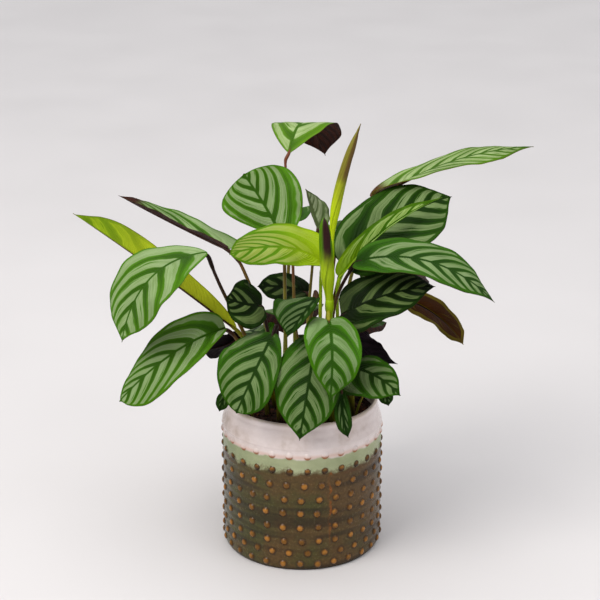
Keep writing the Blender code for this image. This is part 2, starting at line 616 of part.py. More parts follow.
def stalk_rings(leaf: Leaf) -> list[np.ndarray]:
    """Return the round rings of the stalk, each square to its path."""
    path, radii = stalk_path(leaf)
    angles = 2 * math.pi * np.arange(STALK_SIDES) / STALK_SIDES
    ahead = np.vstack((path[1:], [leaf.joint]))
    depth = np.array((0.0, 1.0, 0.0))
    rings = []
    for i, place in enumerate(path):
        along = unit(ahead[i] - place)
        if i:
            along = unit(along + unit(place - path[i - 1]))
        guide = depth if abs(depth @ along) < NEARLY_LEVEL else np.array((1.0, 0.0, 0.0))
        right = unit(np.cross(guide, along))
        level = np.cross(along, right)
        rings.append(place + radii[i] * (np.outer(np.cos(angles), right) + np.outer(np.sin(angles), level)))
    return rings


def make_leaf(leaf: Leaf, rows: tuple[float, ...]) -> bpy.types.Object:
    """Make one leaf as a closed solid: foot, stalk, thick joint, and blade or spear.

    Args:
        leaf: The leaf's sizes.
        rows: Places along the midrib where the blade has a ring.
    """
    shell = Shell()
    stalk = [shell.add_ring(ring) for ring in stalk_rings(leaf)]
    blade = spear_rings(leaf, rows) if leaf.rolled else blade_rings(leaf, rows)
    blade = [shell.add_ring(ring) for ring in blade]
    shell.cap(stalk[0], upward=False)
    for low, high in zip(stalk, stalk[1:]):
        shell.band(low, high)
    shell.zip_band(stalk[-1], blade[0])
    for low, high in zip(blade, blade[1:]):
        if leaf.rolled:
            shell.band(low, high)
        else:
            shell.split_band(low, high)
    if leaf.rolled:
        shell.cap(blade[-1], upward=True)
    else:
        shell.cap_strip(blade[-1])
    colour, roughness = leaf.tone.value
    return shell.solid(leaf.name, plain_material(leaf.name, colour, roughness), crease=50.0)


def main() -> None:
    """Build the pot, the soil and every leaf."""
    clear_scene()
    leaves = CROWN_LEAVES + FRONT_LEAVES + SMALL_AND_BACK_LEAVES
    make_pot()
    make_soil(leaves)
    for leaf in leaves:
        make_leaf(leaf, SHORT_BLADE_ROWS if leaf in SMALL_AND_BACK_LEAVES else BLADE_ROWS)


main()
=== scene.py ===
"""Looks of the potted ctenanthe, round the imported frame.

A glazed hobnail pot, its soil and 35 leaves are drawn in finer form than the solids they stand
for. Lengths are in millimetres and angles in degrees, unless a name says otherwise. The pot's axis
is Z, its foot stands on Z = 0, and the plant is seen from -Y with +X to the right.
"""

import logging
import math
from dataclasses import dataclass, replace
from enum import Enum

import bpy
import numpy as np
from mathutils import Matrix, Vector


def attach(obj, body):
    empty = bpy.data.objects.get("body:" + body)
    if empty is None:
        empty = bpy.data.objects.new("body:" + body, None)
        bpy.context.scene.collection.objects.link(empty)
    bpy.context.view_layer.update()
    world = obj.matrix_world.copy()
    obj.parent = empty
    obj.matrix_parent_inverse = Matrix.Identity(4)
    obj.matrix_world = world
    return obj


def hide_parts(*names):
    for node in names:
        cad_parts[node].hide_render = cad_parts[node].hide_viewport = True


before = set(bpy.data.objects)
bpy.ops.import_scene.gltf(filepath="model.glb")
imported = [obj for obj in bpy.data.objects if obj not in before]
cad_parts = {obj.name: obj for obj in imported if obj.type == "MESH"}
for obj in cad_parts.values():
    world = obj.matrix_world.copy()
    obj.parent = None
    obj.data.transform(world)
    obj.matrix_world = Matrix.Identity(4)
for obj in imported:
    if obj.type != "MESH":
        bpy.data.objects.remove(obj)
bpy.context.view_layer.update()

MM = 0.001
FULL_TURN = 2 * math.pi
PER_METRE = 1000.0
UV_SPAN = 100.0  # millimetres that one unit of the leaves' and the pot's own maps stands for

# Camera: a long lens that looks slightly down on the plant
CAMERA_PLACE = (0.0, -1362.0, 718.0)
CAMERA_PITCH = 20.0
CAMERA_LENS = 102.0
CAMERA_SENSOR = 36.0
CAMERA_SHIFT = -0.0033
CAMERA_REACH = 50.0

# Height of the soil, where every stalk starts
SOIL_TOP = 120.0

# Settings of a colour Mix node, whose colour is its third output, and of a Map Range with soft ends
BLEND = {"output": 2, "data_type": "RGBA"}
SMOOTH = {"interpolation_type": "SMOOTHSTEP"}

Colour = tuple[float, float, float, float]
Point = tuple[float, float, float]
Pair = tuple[float, float]

log = logging.getLogger("ctenanthe")


def linear(code: str) -> Colour:
    """Turn an sRGB hex colour into linear RGBA.

    Args:
        code: Colour written as #rrggbb.

    Returns:
        Linear red, green, blue and an alpha of 1.
    """
    parts = [int(code[start:start + 2], 16) / 255 for start in (1, 3, 5)]
    return (*(part / 12.92 if part <= 0.04045 else ((part + 0.055) / 1.055) ** 2.4 for part in parts), 1.0)


def unit(vectors: np.ndarray) -> np.ndarray:
    """Return the vectors along the last axis at length 1."""
    vectors = np.asarray(vectors, dtype=float)
    return vectors / np.maximum(np.linalg.norm(vectors, axis=-1, keepdims=True), 1e-12)


def fade(value: np.ndarray, start: float, end: float) -> np.ndarray:
    """Return 0 where value is before start, 1 past end, and a smooth step between them."""
    share = np.clip((np.asarray(value, dtype=float) - start) / (end - start), 0.0, 1.0)
    return share * share * (3 - 2 * share)


class Recipe:
    """A Principled material while its nodes are put together."""

    def __init__(self, name: str) -> None:
        """Start an empty material.

        Args:
            name: Its name.
        """
        self.material = bpy.data.materials.new(name)
        self.material.use_nodes = True
        self.tree = self.material.node_tree
        self.shader = self.tree.nodes["Principled BSDF"]

    def add(self, kind: str, links: dict, output: int = 0, **settings: object) -> bpy.types.NodeSocket:
        """Add one node with its settings and links.

        Args:
            kind: Blender's name for the node, without ShaderNode.
            links: What each input, by number or name, reads: another node's output or a fixed value.
            output: Number of the output that is handed back.
            settings: The node's own properties.

        Returns:
            That output of the node.
        """
        node = self.tree.nodes.new(f"ShaderNode{kind}")
        for name, value in settings.items():
            setattr(node, name, value)
        self.feed(node, links)
        return node.outputs[output]

    def feed(self, node: bpy.types.Node, links: dict) -> None:
        """Link or set inputs of a node.

        Args:
            node: The node.
            links: What each input, by number or name, reads.
        """
        for key, source in links.items():
            if isinstance(source, bpy.types.NodeSocket):
                self.tree.links.new(source, node.inputs[key])
            else:
                node.inputs[key].default_value = source

    def finish(self, links: dict) -> bpy.types.Material:
        """Feed the Principled shader and return the material."""
        self.feed(self.shader, links)
        return self.material


class Patch:
    """Points, faces, finish numbers and maps of one piece while it is put together."""

    def __init__(self, maps: tuple[str, ...]) -> None:
        """Start an empty piece.

        Args:
            maps: Names of its maps.
        """
        self.points: list[np.ndarray] = []
        self.faces: list[np.ndarray] = []
        self.finishes: list[np.ndarray] = []
        self.maps: dict[str, list[np.ndarray]] = {name: [] for name in maps}
        self.count = 0

    def add(self, points: np.ndarray, faces: np.ndarray, finish: np.ndarray | int,
            maps: dict[str, np.ndarray]) -> None:
        """Add a closed shell.

        Args:
            points: Corner points in millimetres.
            faces: Four corner numbers for each face.
            finish: Material number of each face, or of all of them.
            maps: Map coordinates, as faces by four corners by two.
        """
        self.points.append(points)
        self.faces.append(faces + self.count)
        self.finishes.append(np.broadcast_to(finish, len(faces)))
        for name, made in self.maps.items():
            made.append(maps.get(name, np.zeros((len(faces), 4, 2))))
        self.count += len(points)

    def piece(self, name: str, finishes: list[bpy.types.Material], crease: float) -> bpy.types.Object:
        """Make the mesh object.

        Args:
            name: Name of the piece.
            finishes: Its materials, in the order of their numbers.
            crease: Angle above which an edge stays sharp.

        Returns:
            The piece, linked to the scene.
        """
        mesh = bpy.data.meshes.new(name)
        faces = np.concatenate(self.faces)
        used = np.ones(faces.shape, dtype=bool)
        used[:, 3] = faces[:, 3] != faces[:, 2]
        corners = [face if four else face[:3] for face, four in zip(faces.tolist(), used[:, 3])]
        mesh.from_pydata((np.concatenate(self.points) * MM).tolist(), [], corners)
        mesh.polygons.foreach_set("material_index", np.concatenate(self.finishes).astype(np.int32))
        for material in finishes:
            mesh.materials.append(material)
        for title, made in self.maps.items():
            layer = mesh.uv_layers.new(name=title)
            values = np.concatenate(made)[used]
            layer.uv.foreach_set("vector", values.astype(np.float32).ravel())
        mesh.shade_smooth()
        mesh.set_sharp_from_angle(angle=math.radians(crease))
        mesh.update()
        made = bpy.data.objects.new(name, mesh)
        bpy.context.collection.objects.link(made)
        return made


def sweep_faces(rows: int, columns: int, closed: bool = True) -> np.ndarray:
    """Return the quads between neighbouring rings of the same count, ring by ring.

    Args:
        rows: Number of rings.
        columns: Corners of each ring.
        closed: Whether a ring's last corner is joined to its first.

    Returns:
        Four corner numbers for each quad.
    """
    around = np.arange(columns if closed else columns - 1)
    after = (around + 1) % columns
    start = (np.arange(rows - 1) * columns)[:, None]
    quads = [start + around, start + after, start + columns + after, start + columns + around]
    return np.stack(quads, axis=-1).reshape(-1, 4)


def sweep_map(values: np.ndarray) -> np.ndarray:
    """Return map coordinates for sweep_faces.

    Args:
        values: Rows by columns plus one by two, the first column repeated at the end.

    Returns:
        Faces by four corners by two.
    """
    corners = (values[:-1, :-1], values[:-1, 1:], values[1:, 1:], values[1:, :-1])
    return np.stack(corners, axis=2).reshape(-1, 4, 2)


def fan_faces(ring: np.ndarray, middle: int, outward: bool) -> np.ndarray:
    """Return the triangles that close a ring at one point, each as a quad with that point twice.

    Args:
        ring: Corner numbers of the ring.
        middle: Number of the point.
        outward: Whether the ring runs the way that faces ahead.

    Returns:
        Four corner numbers for each.
    """
    after = np.roll(ring, -1)
    first, second = (ring, after) if outward else (after, ring)
    return np.stack((first, second, np.full(len(ring), middle), np.full(len(ring), middle)), axis=-1)


def tube_rings(path: np.ndarray, radii: np.ndarray, sides: int) -> np.ndarray:
    """Return round rings along a path, carried along it without a twist.

    Args:
        path: Points along the middle.
        radii: Radius at each of them.
        sides: Corners of each ring.

    Returns:
        Points as rings by corners by three.
    """
    along = unit(np.gradient(path, axis=0))
    guide = np.array((0.0, 1.0, 0.0))
    angles = FULL_TURN * np.arange(sides) / sides
    rings = []
    for place, ahead, radius in zip(path, along, radii):
        guide = unit(guide - (guide @ ahead) * ahead)
        side = np.cross(guide, ahead)
        rings.append(place + radius * (np.outer(np.cos(angles), side) + np.outer(np.sin(angles), guide)))
    return np.array(rings)


def add_tube(patch: Patch, rings: np.ndarray, ends: tuple[np.ndarray, np.ndarray], finish: int,
             maps: dict[str, np.ndarray]) -> None:
    """Add a tube that is closed at two points.

    Args:
        patch: The piece that gets it.
        rings: Rings by corners by three.
        ends: The points that close the first and the last ring.
        finish: Number of its material.
        maps: For each map, rings by corners plus one by two.
    """
    count, sides = rings.shape[:2]
    points = np.vstack((rings.reshape(-1, 3), ends))
    last = count * sides
    first_ring = np.arange(sides)
    closing = (fan_faces(first_ring, last, False), fan_faces(first_ring + last - sides, last + 1, True))
    faces = np.vstack((sweep_faces(count, sides), *closing))
    made = {}
    for name, values in maps.items():
        low = np.repeat(values[0, :-1, None], 4, axis=1)
        high = np.repeat(values[-1, :-1, None], 4, axis=1)
        made[name] = np.concatenate((sweep_map(values), low, high))
    patch.add(points, faces, finish, made)


@dataclass(frozen=True)
class LivingLeafSkin:
    """Living leaf skin: a waxy cuticle over cells, pale between the veins and green along them.

    The eye gets bold feathered stripes, with fine veins in them, under a soft satin sheen.

    Args:
        ground: Colour between the stripes.
        ground_deep: Its darker streaks.
        stripe: Colour of the stripes along the side veins.
        stripe_deep: The middle of each stripe.
        rim: The thin edge of the blade.
        rib: The thin line along the midrib.
        wash: Colour that covers the pattern towards one end; it stands for young tissue, for a rolled-in tip,
            and on some skins for painted shade.
        wash_span: Places along the blade where that colour is full and where it ends.
        wash_share: How strongly it covers the pattern at its fullest.
        stripe_half: Half widths of a stripe at the midrib and at the edge, in millimetres.
        margin: Width of the green band along the edge.
        band: Distance between two stripes, in millimetres.
        softness: How softly a pale band starts.
        roughness: Roughness of the smooth and the duller parts.
    """

    ground: str
    ground_shaded_deep: str
    stripe: str
    stripe_shaded_deep: str
    rim: str
    rib: str
    wash: str = "#a9c51f"
    wash_span: Pair = (0.0, 0.01)
    wash_share: float = 0.0
    stripe_half: Pair = (2.5, 3.1)
    margin: float = 2.1
    band: float = 14.0
    softness: float = 0.7
    roughness: Pair = (0.36, 0.5)

    def dress(self, name: str) -> bpy.types.Material:
        """Make the material, which reads the blade's three maps.

        Args:
            name: Its name.

        Returns:
            The material.
        """
        m = Recipe(name)
        flow = m.add("SeparateXYZ", {0: m.add("UVMap", {}, uv_map="veins")})
        phase, out = flow, flow.node.outputs[1]
        place = m.add("SeparateXYZ", {0: m.add("UVMap", {}, uv_map="place")})
        edge = m.add("Math", {0: place.node.outputs[1], 1: UV_SPAN}, operation="MULTIPLY")
        rib = m.add("SeparateXYZ", {0: m.add("UVMap", {}, uv_map="rib")})
        across = m.add("Math", {0: rib, 1: UV_SPAN}, operation="MULTIPLY")
        tag = rib.node.outputs[1]
        spot = m.add("TexCoord", {}, output=3)

        # The stripes wander a little, as veins do: patches of about 20 mm.
        drift = m.add("TexNoise", {"Vector": spot, "Scale": 50.0, "Detail": 2.0})
        drift = m.add("Math", {0: drift, 1: 0.34, 2: -0.17}, operation="MULTIPLY_ADD")
        phase = m.add("Math", {0: phase, 1: drift}, operation="ADD")
        turn = m.add("Math", {0: phase}, operation="FRACT")
        turn = m.add("Math", {0: turn, 1: 0.5}, operation="SUBTRACT")
        turn = m.add("Math", {0: turn}, operation="ABSOLUTE")
        half = m.add("MapRange", {0: out, 1: 0.0, 2: 1.0, 3: self.stripe_half[0], 4: self.stripe_half[1]})
        from_stripe = m.add("Math", {0: turn, 1: self.band}, operation="MULTIPLY")
        from_stripe = m.add("Math", {0: from_stripe, 1: half}, operation="SUBTRACT")
        from_rib = m.add("MapRange", {0: place, 1: 0.0, 2: 1.0, 3: 1.4, 4: 0.5})
        from_rib = m.add("Math", {0: across, 1: from_rib}, operation="SUBTRACT")
        ragged = m.add("TexNoise", {"Vector": spot, "Scale": 160.0, "Detail": 1.0})
        from_edge = m.add("Math", {0: ragged, 1: 1.6, 2: self.margin - 0.8}, operation="MULTIPLY_ADD")
        from_edge = m.add("Math", {0: edge, 1: from_edge}, operation="SUBTRACT")
        clear = m.add("Math", {0: from_stripe, 1: from_rib, 2: 1.4}, operation="SMOOTH_MIN")
        clear = m.add("Math", {0: clear, 1: from_edge, 2: 1.8}, operation="SMOOTH_MIN")

        # A short dark streak lies in about half of the pale bands.
        middle = m.add("Math", {0: phase, 1: 0.5}, operation="ADD")
        cell = m.add("Math", {0: m.add("Math", {0: middle}, operation="FLOOR"), 1: tag}, operation="ADD")
        chance = m.add("TexWhiteNoise", {"W": cell}, noise_dimensions="1D")
        aside = m.add("Math", {0: chance, 1: 0.5, 2: -0.75}, operation="MULTIPLY_ADD")
        aside = m.add("Math", {0: m.add("Math", {0: middle}, operation="FRACT"), 1: aside}, operation="ADD")
        aside = m.add("Math", {0: m.add("Math", {0: aside}, operation="ABSOLUTE"), 1: self.band},
                      operation="MULTIPLY")
        reach = m.add("Math", {0: out, 1: 0.42}, operation="SUBTRACT")
        reach = m.add("Math", {0: reach}, operation="ABSOLUTE")
        reach = m.add("MapRange", {0: reach, 1: 0.0, 2: 0.34, 3: 0.5, 4: -0.9})
        reach = m.add("Math", {0: reach, 1: m.add("MapRange", {0: chance, 1: 0.45, 2: 0.5, 3: 2.0, 4: 0.0})},
                      operation="SUBTRACT")
        streak = m.add("Math", {0: aside, 1: reach}, operation="SUBTRACT")
        clear = m.add("Math", {0: clear, 1: streak}, operation="MINIMUM")
        pale = m.add("MapRange", {0: clear, 1: -0.1, 2: self.softness}, **SMOOTH)

        # Fine veins run beside the stripes, about 1 mm apart.
        grain = m.add("CombineXYZ", {0: m.add("Math", {0: phase, 1: 11.0}, operation="MULTIPLY"),
                                     1: m.add("Math", {0: out, 1: 1.6}, operation="MULTIPLY"), 2: tag})
        grain = m.add("TexNoise", {"Vector": grain, "Scale": 1.0, "Detail": 2.0})
        thread = m.add("MapRange", {0: grain, 1: 0.34, 2: 0.66}, **SMOOTH)
        ground = m.add("Mix", {0: thread, 6: linear(self.ground_shaded_deep), 7: linear(self.ground)}, **BLEND)
        inner = m.add("Math", {0: out, 1: 5.0, 2: clear}, operation="MULTIPLY_ADD")
        inner = m.add("MapRange", {0: inner, 1: -1.2, 2: 3.8}, **SMOOTH)
        stripe = m.add("Mix", {0: inner, 6: linear(self.stripe_shaded_deep), 7: linear(self.stripe)}, **BLEND)
        colour = m.add("Mix", {0: pale, 6: stripe, 7: ground}, **BLEND)
        line = m.add("MapRange", {0: across, 1: 0.6, 2: 0.2, 3: 0.0, 4: 0.35}, **SMOOTH)
        colour = m.add("Mix", {0: line, 6: colour, 7: linear(self.rib)}, **BLEND)
        # The wash over one end: young tissue and rolled-in tips on some skins, painted shade over the base on
        # the shaded ones.
        young_tint_and_shade = m.add("MapRange", {0: place, 1: self.wash_span[0], 2: self.wash_span[1],
                                   3: self.wash_share, 4: 0.0}, **SMOOTH)
        colour = m.add("Mix", {0: young_tint_and_shade, 6: colour, 7: linear(self.wash)}, **BLEND)
        hem = m.add("MapRange", {0: edge, 1: 0.8, 2: 0.25, 3: 0.0, 4: 0.5}, **SMOOTH)
        colour = m.add("Mix", {0: hem, 6: colour, 7: linear(self.rim)}, **BLEND)
        cloud = m.add("TexNoise", {"Vector": spot, "Scale": 28.0, "Detail": 3.0})
        cloud = m.add("MapRange", {0: cloud, 1: 0.3, 2: 0.7, 3: 0.84, 4: 1.12})
        colour = m.add("VectorMath", {0: colour, 3: cloud}, operation="SCALE")
        shine = m.add("MapRange", {0: grain, 1: 0.3, 2: 0.7, 3: self.roughness[0], 4: self.roughness[1]})
        swell = m.add("Math", {0: phase, 1: 9 * FULL_TURN}, operation="MULTIPLY")
        swell = m.add("Math", {0: swell}, operation="SINE")
        swell = m.add("Math", {0: swell, 1: 0.3, 2: grain}, operation="MULTIPLY_ADD")
        swell = m.add("Math", {0: turn, 1: 2.4, 2: swell}, operation="MULTIPLY_ADD")
        bump = m.add("Bump", {"Height": swell, "Strength": 0.6, "Distance": 0.0008})
        return m.finish({"Base Color": colour, "Roughness": shine, "Normal": bump, "IOR": 1.42,
                         "Specular IOR Level": 0.08})


class Skin(Enum):
    """Finishes of the blades' two faces."""

    SILVER = LivingLeafSkin("#869e6c", "#769058", "#46760e", "#2c5206", "#3f4012", "#2a5008")
    SILVER_ROLLED = replace(SILVER, wash="#3a1d14", wash_span=(0.86, 0.74), wash_share=1.0)
    FINE = LivingLeafSkin("#98ae76", "#7f9759", "#527c10", "#385e0a", "#4a2f14", "#2c4e0a",
                          stripe_half=(2.0, 2.6), margin=2.0)
    FINE_ROLLED = replace(FINE, wash="#4a2f12", wash_span=(0.06, 0.14), wash_share=1.0)
    RICH = LivingLeafSkin("#7a9062", "#667f4c", "#33600c", "#1b3c04", "#30300c", "#1a3b04",
                          stripe_half=(2.8, 3.3), margin=3.0)
    # Painted shade: a darker copy of the skin for a leaf in the shade of the crown.
    SHADY = LivingLeafSkin("#728856", "#5f7545", "#264a06", "#142e03", "#28280a", "#162f03",
                           stripe_half=(2.9, 3.5), margin=3.1)
    # Painted shade: a darker copy of the skin for leaves inside the crown and low at the rim.
    SHADED_DEEP = LivingLeafSkin("#586c44", "#485d35", "#224508", "#112804", "#1e2008", "#122a04",
                          stripe_half=(2.7, 3.3), margin=3.0)
    # Painted shade: a darker copy of the skin, with a near-black wash over the base half, for leaves in the
    # shade of others.
    SHADE = LivingLeafSkin("#5f7340", "#4b5e33", "#183205", "#0a1902", "#171805", "#0b1c02",
                           wash="#0d1706", wash_span=(0.0, 0.6), wash_share=0.55, stripe_half=(3.2, 3.9),
                           margin=3.4)
    BRIGHT = LivingLeafSkin("#708b58", "#5f7a46", "#3a6c06", "#234803", "#34560a", "#214604",
                            stripe_half=(2.6, 3.1), margin=2.2)
    LIME = LivingLeafSkin("#92a353", "#839638", "#55820a", "#477406", "#5c6a14", "#62860e", wash="#9ebc0c",
                          wash_span=(0.0, 0.66), wash_share=0.92, stripe_half=(1.8, 2.7))
    NARROW_LIME = LivingLeafSkin("#abc676", "#90ad54", "#4c780e", "#3c680a", "#4b6614", "#5f8714",
                                 wash="#86a818", wash_span=(0.05, 0.4), wash_share=0.9,
                                 stripe_half=(1.4, 2.0))
    FRESH_ROLL = LivingLeafSkin("#9bb41c", "#86a516", "#6d9410", "#5c860c", "#5a4414", "#8fa514",
                                wash="#a4a416", wash_span=(0.45, 1.0), wash_share=1.0)
    # Painted light: a brighter copy of the young underside, which lifts the shade that falls on it.
    FRESH_UNDER_LIT = LivingLeafSkin("#90a81e", "#7f9a18", "#6d8c12", "#5c7c0e", "#4f3010", "#97a01c",
                                 wash="#d2e02c", wash_span=(0.2, 0.9), wash_share=1.0)
    MATURE = LivingLeafSkin("#6c8352", "#597040", "#2d5806", "#173203", "#243808", "#163003",
                            stripe_half=(2.5, 3.0), margin=2.3)
    DUSK = LivingLeafSkin("#8b9776", "#77835f", "#5a6c42", "#4a5a34", "#4a2c3c", "#5f5a46",
                          stripe_half=(1.6, 2.0), margin=1.6)
    LIME_UNDER = LivingLeafSkin("#94a23a", "#808e2a", "#6e8016", "#5f7310", "#482a12", "#888820")
    # Painted shade: a near-black copy of the skin for a leaf under the others.
    SHADED_NIGHT = LivingLeafSkin("#1b2413", "#151c0f", "#11190b", "#0c1207", "#100e0a", "#0e150a")
    MAROON = LivingLeafSkin("#4a2012", "#3a170c", "#33130a", "#290e07", "#4a380e", "#4e2a18", margin=1.0)
    OLIVE_MAROON = LivingLeafSkin("#4f2b0b", "#3d2008", "#776a12", "#5e4c0d", "#8a7f16", "#6d4a14",
                                  stripe_half=(-1.5, -1.5), margin=4.6)
    PURPLE = LivingLeafSkin("#1f121b", "#180e15", "#150c12", "#10090e", "#1b1414", "#25171e")


@dataclass(frozen=True)
class GreenStemTissue:
    """Smooth green stem tissue, tinted with red pigment towards the blade.

    The eye gets fine fibres and a soft line of light along the stalk.

    Args:
        foot: Colour at the soil.
        middle: Colour half way up.
        head: Colour below the blade.
        streak: Colour of the fine lines along it.
        joint: Colour of the thick piece under the blade.
        rib: Colour of the ridge under the blade.
        sheath_and_shade: Colour of the withered sheaths round the foot, dark also as painted shade low among
            the leaves.
    """

    foot: str
    middle: str
    head: str
    streak: str
    joint: str
    rib: str
    sheath_and_shade: str = "#33270f"

    def dress(self, name: str) -> bpy.types.Material:
        """Make the material, which reads the way up the stalk and round it from the place map.

        Args:
            name: Its name.

        Returns:
            The material.
        """
        m = Recipe(name)
        place = m.add("SeparateXYZ", {0: m.add("UVMap", {}, uv_map="place")})
        around = m.add("Math", {0: place.node.outputs[1], 1: FULL_TURN}, operation="MULTIPLY")
        spot = m.add("TexCoord", {}, output=3)
        mottle = m.add("TexNoise", {"Vector": spot, "Scale": 70.0, "Detail": 2.0})
        height = m.add("Math", {0: mottle, 1: 0.3, 2: place}, operation="MULTIPLY_ADD")
        low = m.add("MapRange", {0: height, 1: 0.3, 2: 0.62}, **SMOOTH)
        high = m.add("MapRange", {0: height, 1: 0.66, 2: 1.02}, **SMOOTH)
        colour = m.add("Mix", {0: low, 6: linear(self.foot), 7: linear(self.middle)}, **BLEND)
        colour = m.add("Mix", {0: high, 6: colour, 7: linear(self.head)}, **BLEND)
        # Fibres along the stalk, drawn about 0.6 mm wide so that they show.
        ring = m.add("CombineXYZ", {0: m.add("Math", {0: around}, operation="COSINE"),
                                    1: m.add("Math", {0: around}, operation="SINE"), 2: place})
        ring = m.add("VectorMath", {0: ring, 1: (2.6, 2.6, 3.0)}, operation="MULTIPLY")
        fibre = m.add("TexNoise", {"Vector": ring, "Scale": 1.0, "Detail": 2.0})
        line = m.add("MapRange", {0: fibre, 1: 0.5, 2: 0.68, 3: 0.0, 4: 0.6}, **SMOOTH)
        colour = m.add("Mix", {0: line, 6: colour, 7: linear(self.streak)}, **BLEND)
        # Withered brown sheaths round the foot, dark also as painted shade low among the leaves.
        sheath_and_shade = m.add("MapRange", {0: height, 1: 0.34, 2: 0.16, 3: 0.0, 4: 0.85}, **SMOOTH)
        colour = m.add("Mix", {0: sheath_and_shade, 6: colour, 7: linear(self.sheath_and_shade)}, **BLEND)
        thick = m.add("MapRange", {0: place, 1: 0.9, 2: 0.955}, **SMOOTH)
        colour = m.add("Mix", {0: thick, 6: colour, 7: linear(self.joint)}, **BLEND)
        under = m.add("MapRange", {0: place, 1: 1.0, 2: 1.04}, **SMOOTH)
        colour = m.add("Mix", {0: under, 6: colour, 7: linear(self.rib)}, **BLEND)
        shine = m.add("MapRange", {0: mottle, 1: 0.3, 2: 0.7, 3: 0.34, 4: 0.48})
        bump = m.add("Bump", {"Height": fibre, "Strength": 0.4, "Distance": 0.0003})
        return m.finish({"Base Color": colour, "Roughness": shine, "Normal": bump, "IOR": 1.42,
                         "Specular IOR Level": 0.25})


class Stem(Enum):
    """Finishes of the stalks."""

    DARK = GreenStemTissue("#7c7f1e", "#665218", "#2a140d", "#43260f", "#1f0f0a", "#2c1410")
    OLIVE = GreenStemTissue("#8e982a", "#88872c", "#664c20", "#5f5020", "#38200f", "#3a2014")
    YELLOW = GreenStemTissue("#a09d14", "#989512", "#8a8a0e", "#786d14", "#80800e", "#3f210e")
    LIME = GreenStemTissue("#98a712", "#92ab0c", "#8bae08", "#787d16", "#8fb108", "#93a81a")
    PINK = GreenStemTissue("#80891f", "#7a5236", "#885442", "#683626", "#66361f", "#4a2a1a")


@dataclass(frozen=True)
class RolledLeafSkin:
    """A leaf still rolled up: its pale outside is lime below and darkens with red pigment above.

    The eye gets the fine lines of its veins, wound round the spear.

    Args:
        low: Colour of the lower part.
        high: Colour of the upper part on the light side.
        dusk: Colour of the upper part on the dark side.
        turn: Places along the spear where the upper colour starts and is full.
        dark: Where the dark side starts and ends, from 0 at the left of the spear to 1 at its right.
    """

    low: str
    high: str
    dusk: str
    turn: Pair
    dark: Pair

    def dress(self, name: str) -> bpy.types.Material:
        """Make the material, which reads the way up the spear and round it from its two maps.

        Args:
            name: Its name.

        Returns:
            The material.
        """
        m = Recipe(name)
        place = m.add("SeparateXYZ", {0: m.add("UVMap", {}, uv_map="place")})
        veins = m.add("SeparateXYZ", {0: m.add("UVMap", {}, uv_map="veins")})
        side = veins.node.outputs[1]
        spot = m.add("TexCoord", {}, output=3)
        mottle = m.add("TexNoise", {"Vector": spot, "Scale": 60.0, "Detail": 3.0})
        height = m.add("Math", {0: mottle, 1: 0.24, 2: place}, operation="MULTIPLY_ADD")
        height = m.add("Math", {0: height, 1: 0.12}, operation="SUBTRACT")
        upper = m.add("MapRange", {0: height, 1: self.turn[0], 2: self.turn[1]}, **SMOOTH)
        start, end = self.dark
        shade = m.add("MapRange", {0: side, 1: start, 2: start + 0.25}, **SMOOTH)
        lit = m.add("MapRange", {0: side, 1: end + 0.1, 2: end}, **SMOOTH)
        shade = m.add("Math", {0: shade, 1: lit}, operation="MULTIPLY")
        top = m.add("Mix", {0: shade, 6: linear(self.high), 7: linear(self.dusk)}, **BLEND)
        colour = m.add("Mix", {0: upper, 6: linear(self.low), 7: top}, **BLEND)
        # Rolled veins run up the spear, about 1 mm apart.
        ring = m.add("CombineXYZ", {0: m.add("Math", {0: veins, 1: 26.0}, operation="MULTIPLY"), 1: place})
        fibre = m.add("TexNoise", {"Vector": ring, "Scale": 1.0, "Detail": 2.0})
        line = m.add("MapRange", {0: fibre, 1: 0.35, 2: 0.65, 3: 0.82, 4: 1.12})
        colour = m.add("VectorMath", {0: colour, 3: line}, operation="SCALE")
        bump = m.add("Bump", {"Height": fibre, "Strength": 0.5, "Distance": 0.0004})
        return m.finish({"Base Color": colour, "Roughness": 0.42, "Normal": bump, "IOR": 1.42,
                         "Specular IOR Level": 0.2})


class Roll(Enum):
    """Finishes of the two spears."""

    TALL = RolledLeafSkin("#b6cc12", "#767024", "#5b4620", (0.2, 0.62), (0.35, 1.0))
    SHORT = RolledLeafSkin("#98b212", "#4c7608", "#2a1010", (0.34, 0.66), (0.16, 0.84))


@dataclass(frozen=True)
class Look:
    """Finishes of one leaf and the run of its stripes.

    Args:
        upper: Skin of the upper face.
        under: Skin of the underside.
        stem: Finish of the stalk.
        bands: Number of stripes on each half.
        slant: How far each half's side veins lean towards the tip.
        first: Where each half starts at the joint: 0 in the middle of a pale band, 0.5 in a stripe.
        base_pace: How fast stripes follow each other behind the joint, against their pace beyond it.
        roll: Finish of a spear.
        young: Whether the leaf takes the young leaves' finish slot.
    """

    upper: Skin = Skin.SILVER
    under: Skin = Skin.MAROON
    stem: Stem = Stem.OLIVE
    bands: float = 6.0
    slant: Pair = (1.9, 1.9)
    first: Pair = (0.1, 0.4)
    base_pace: float = 0.25
    roll: Roll | None = None
    young: bool = False


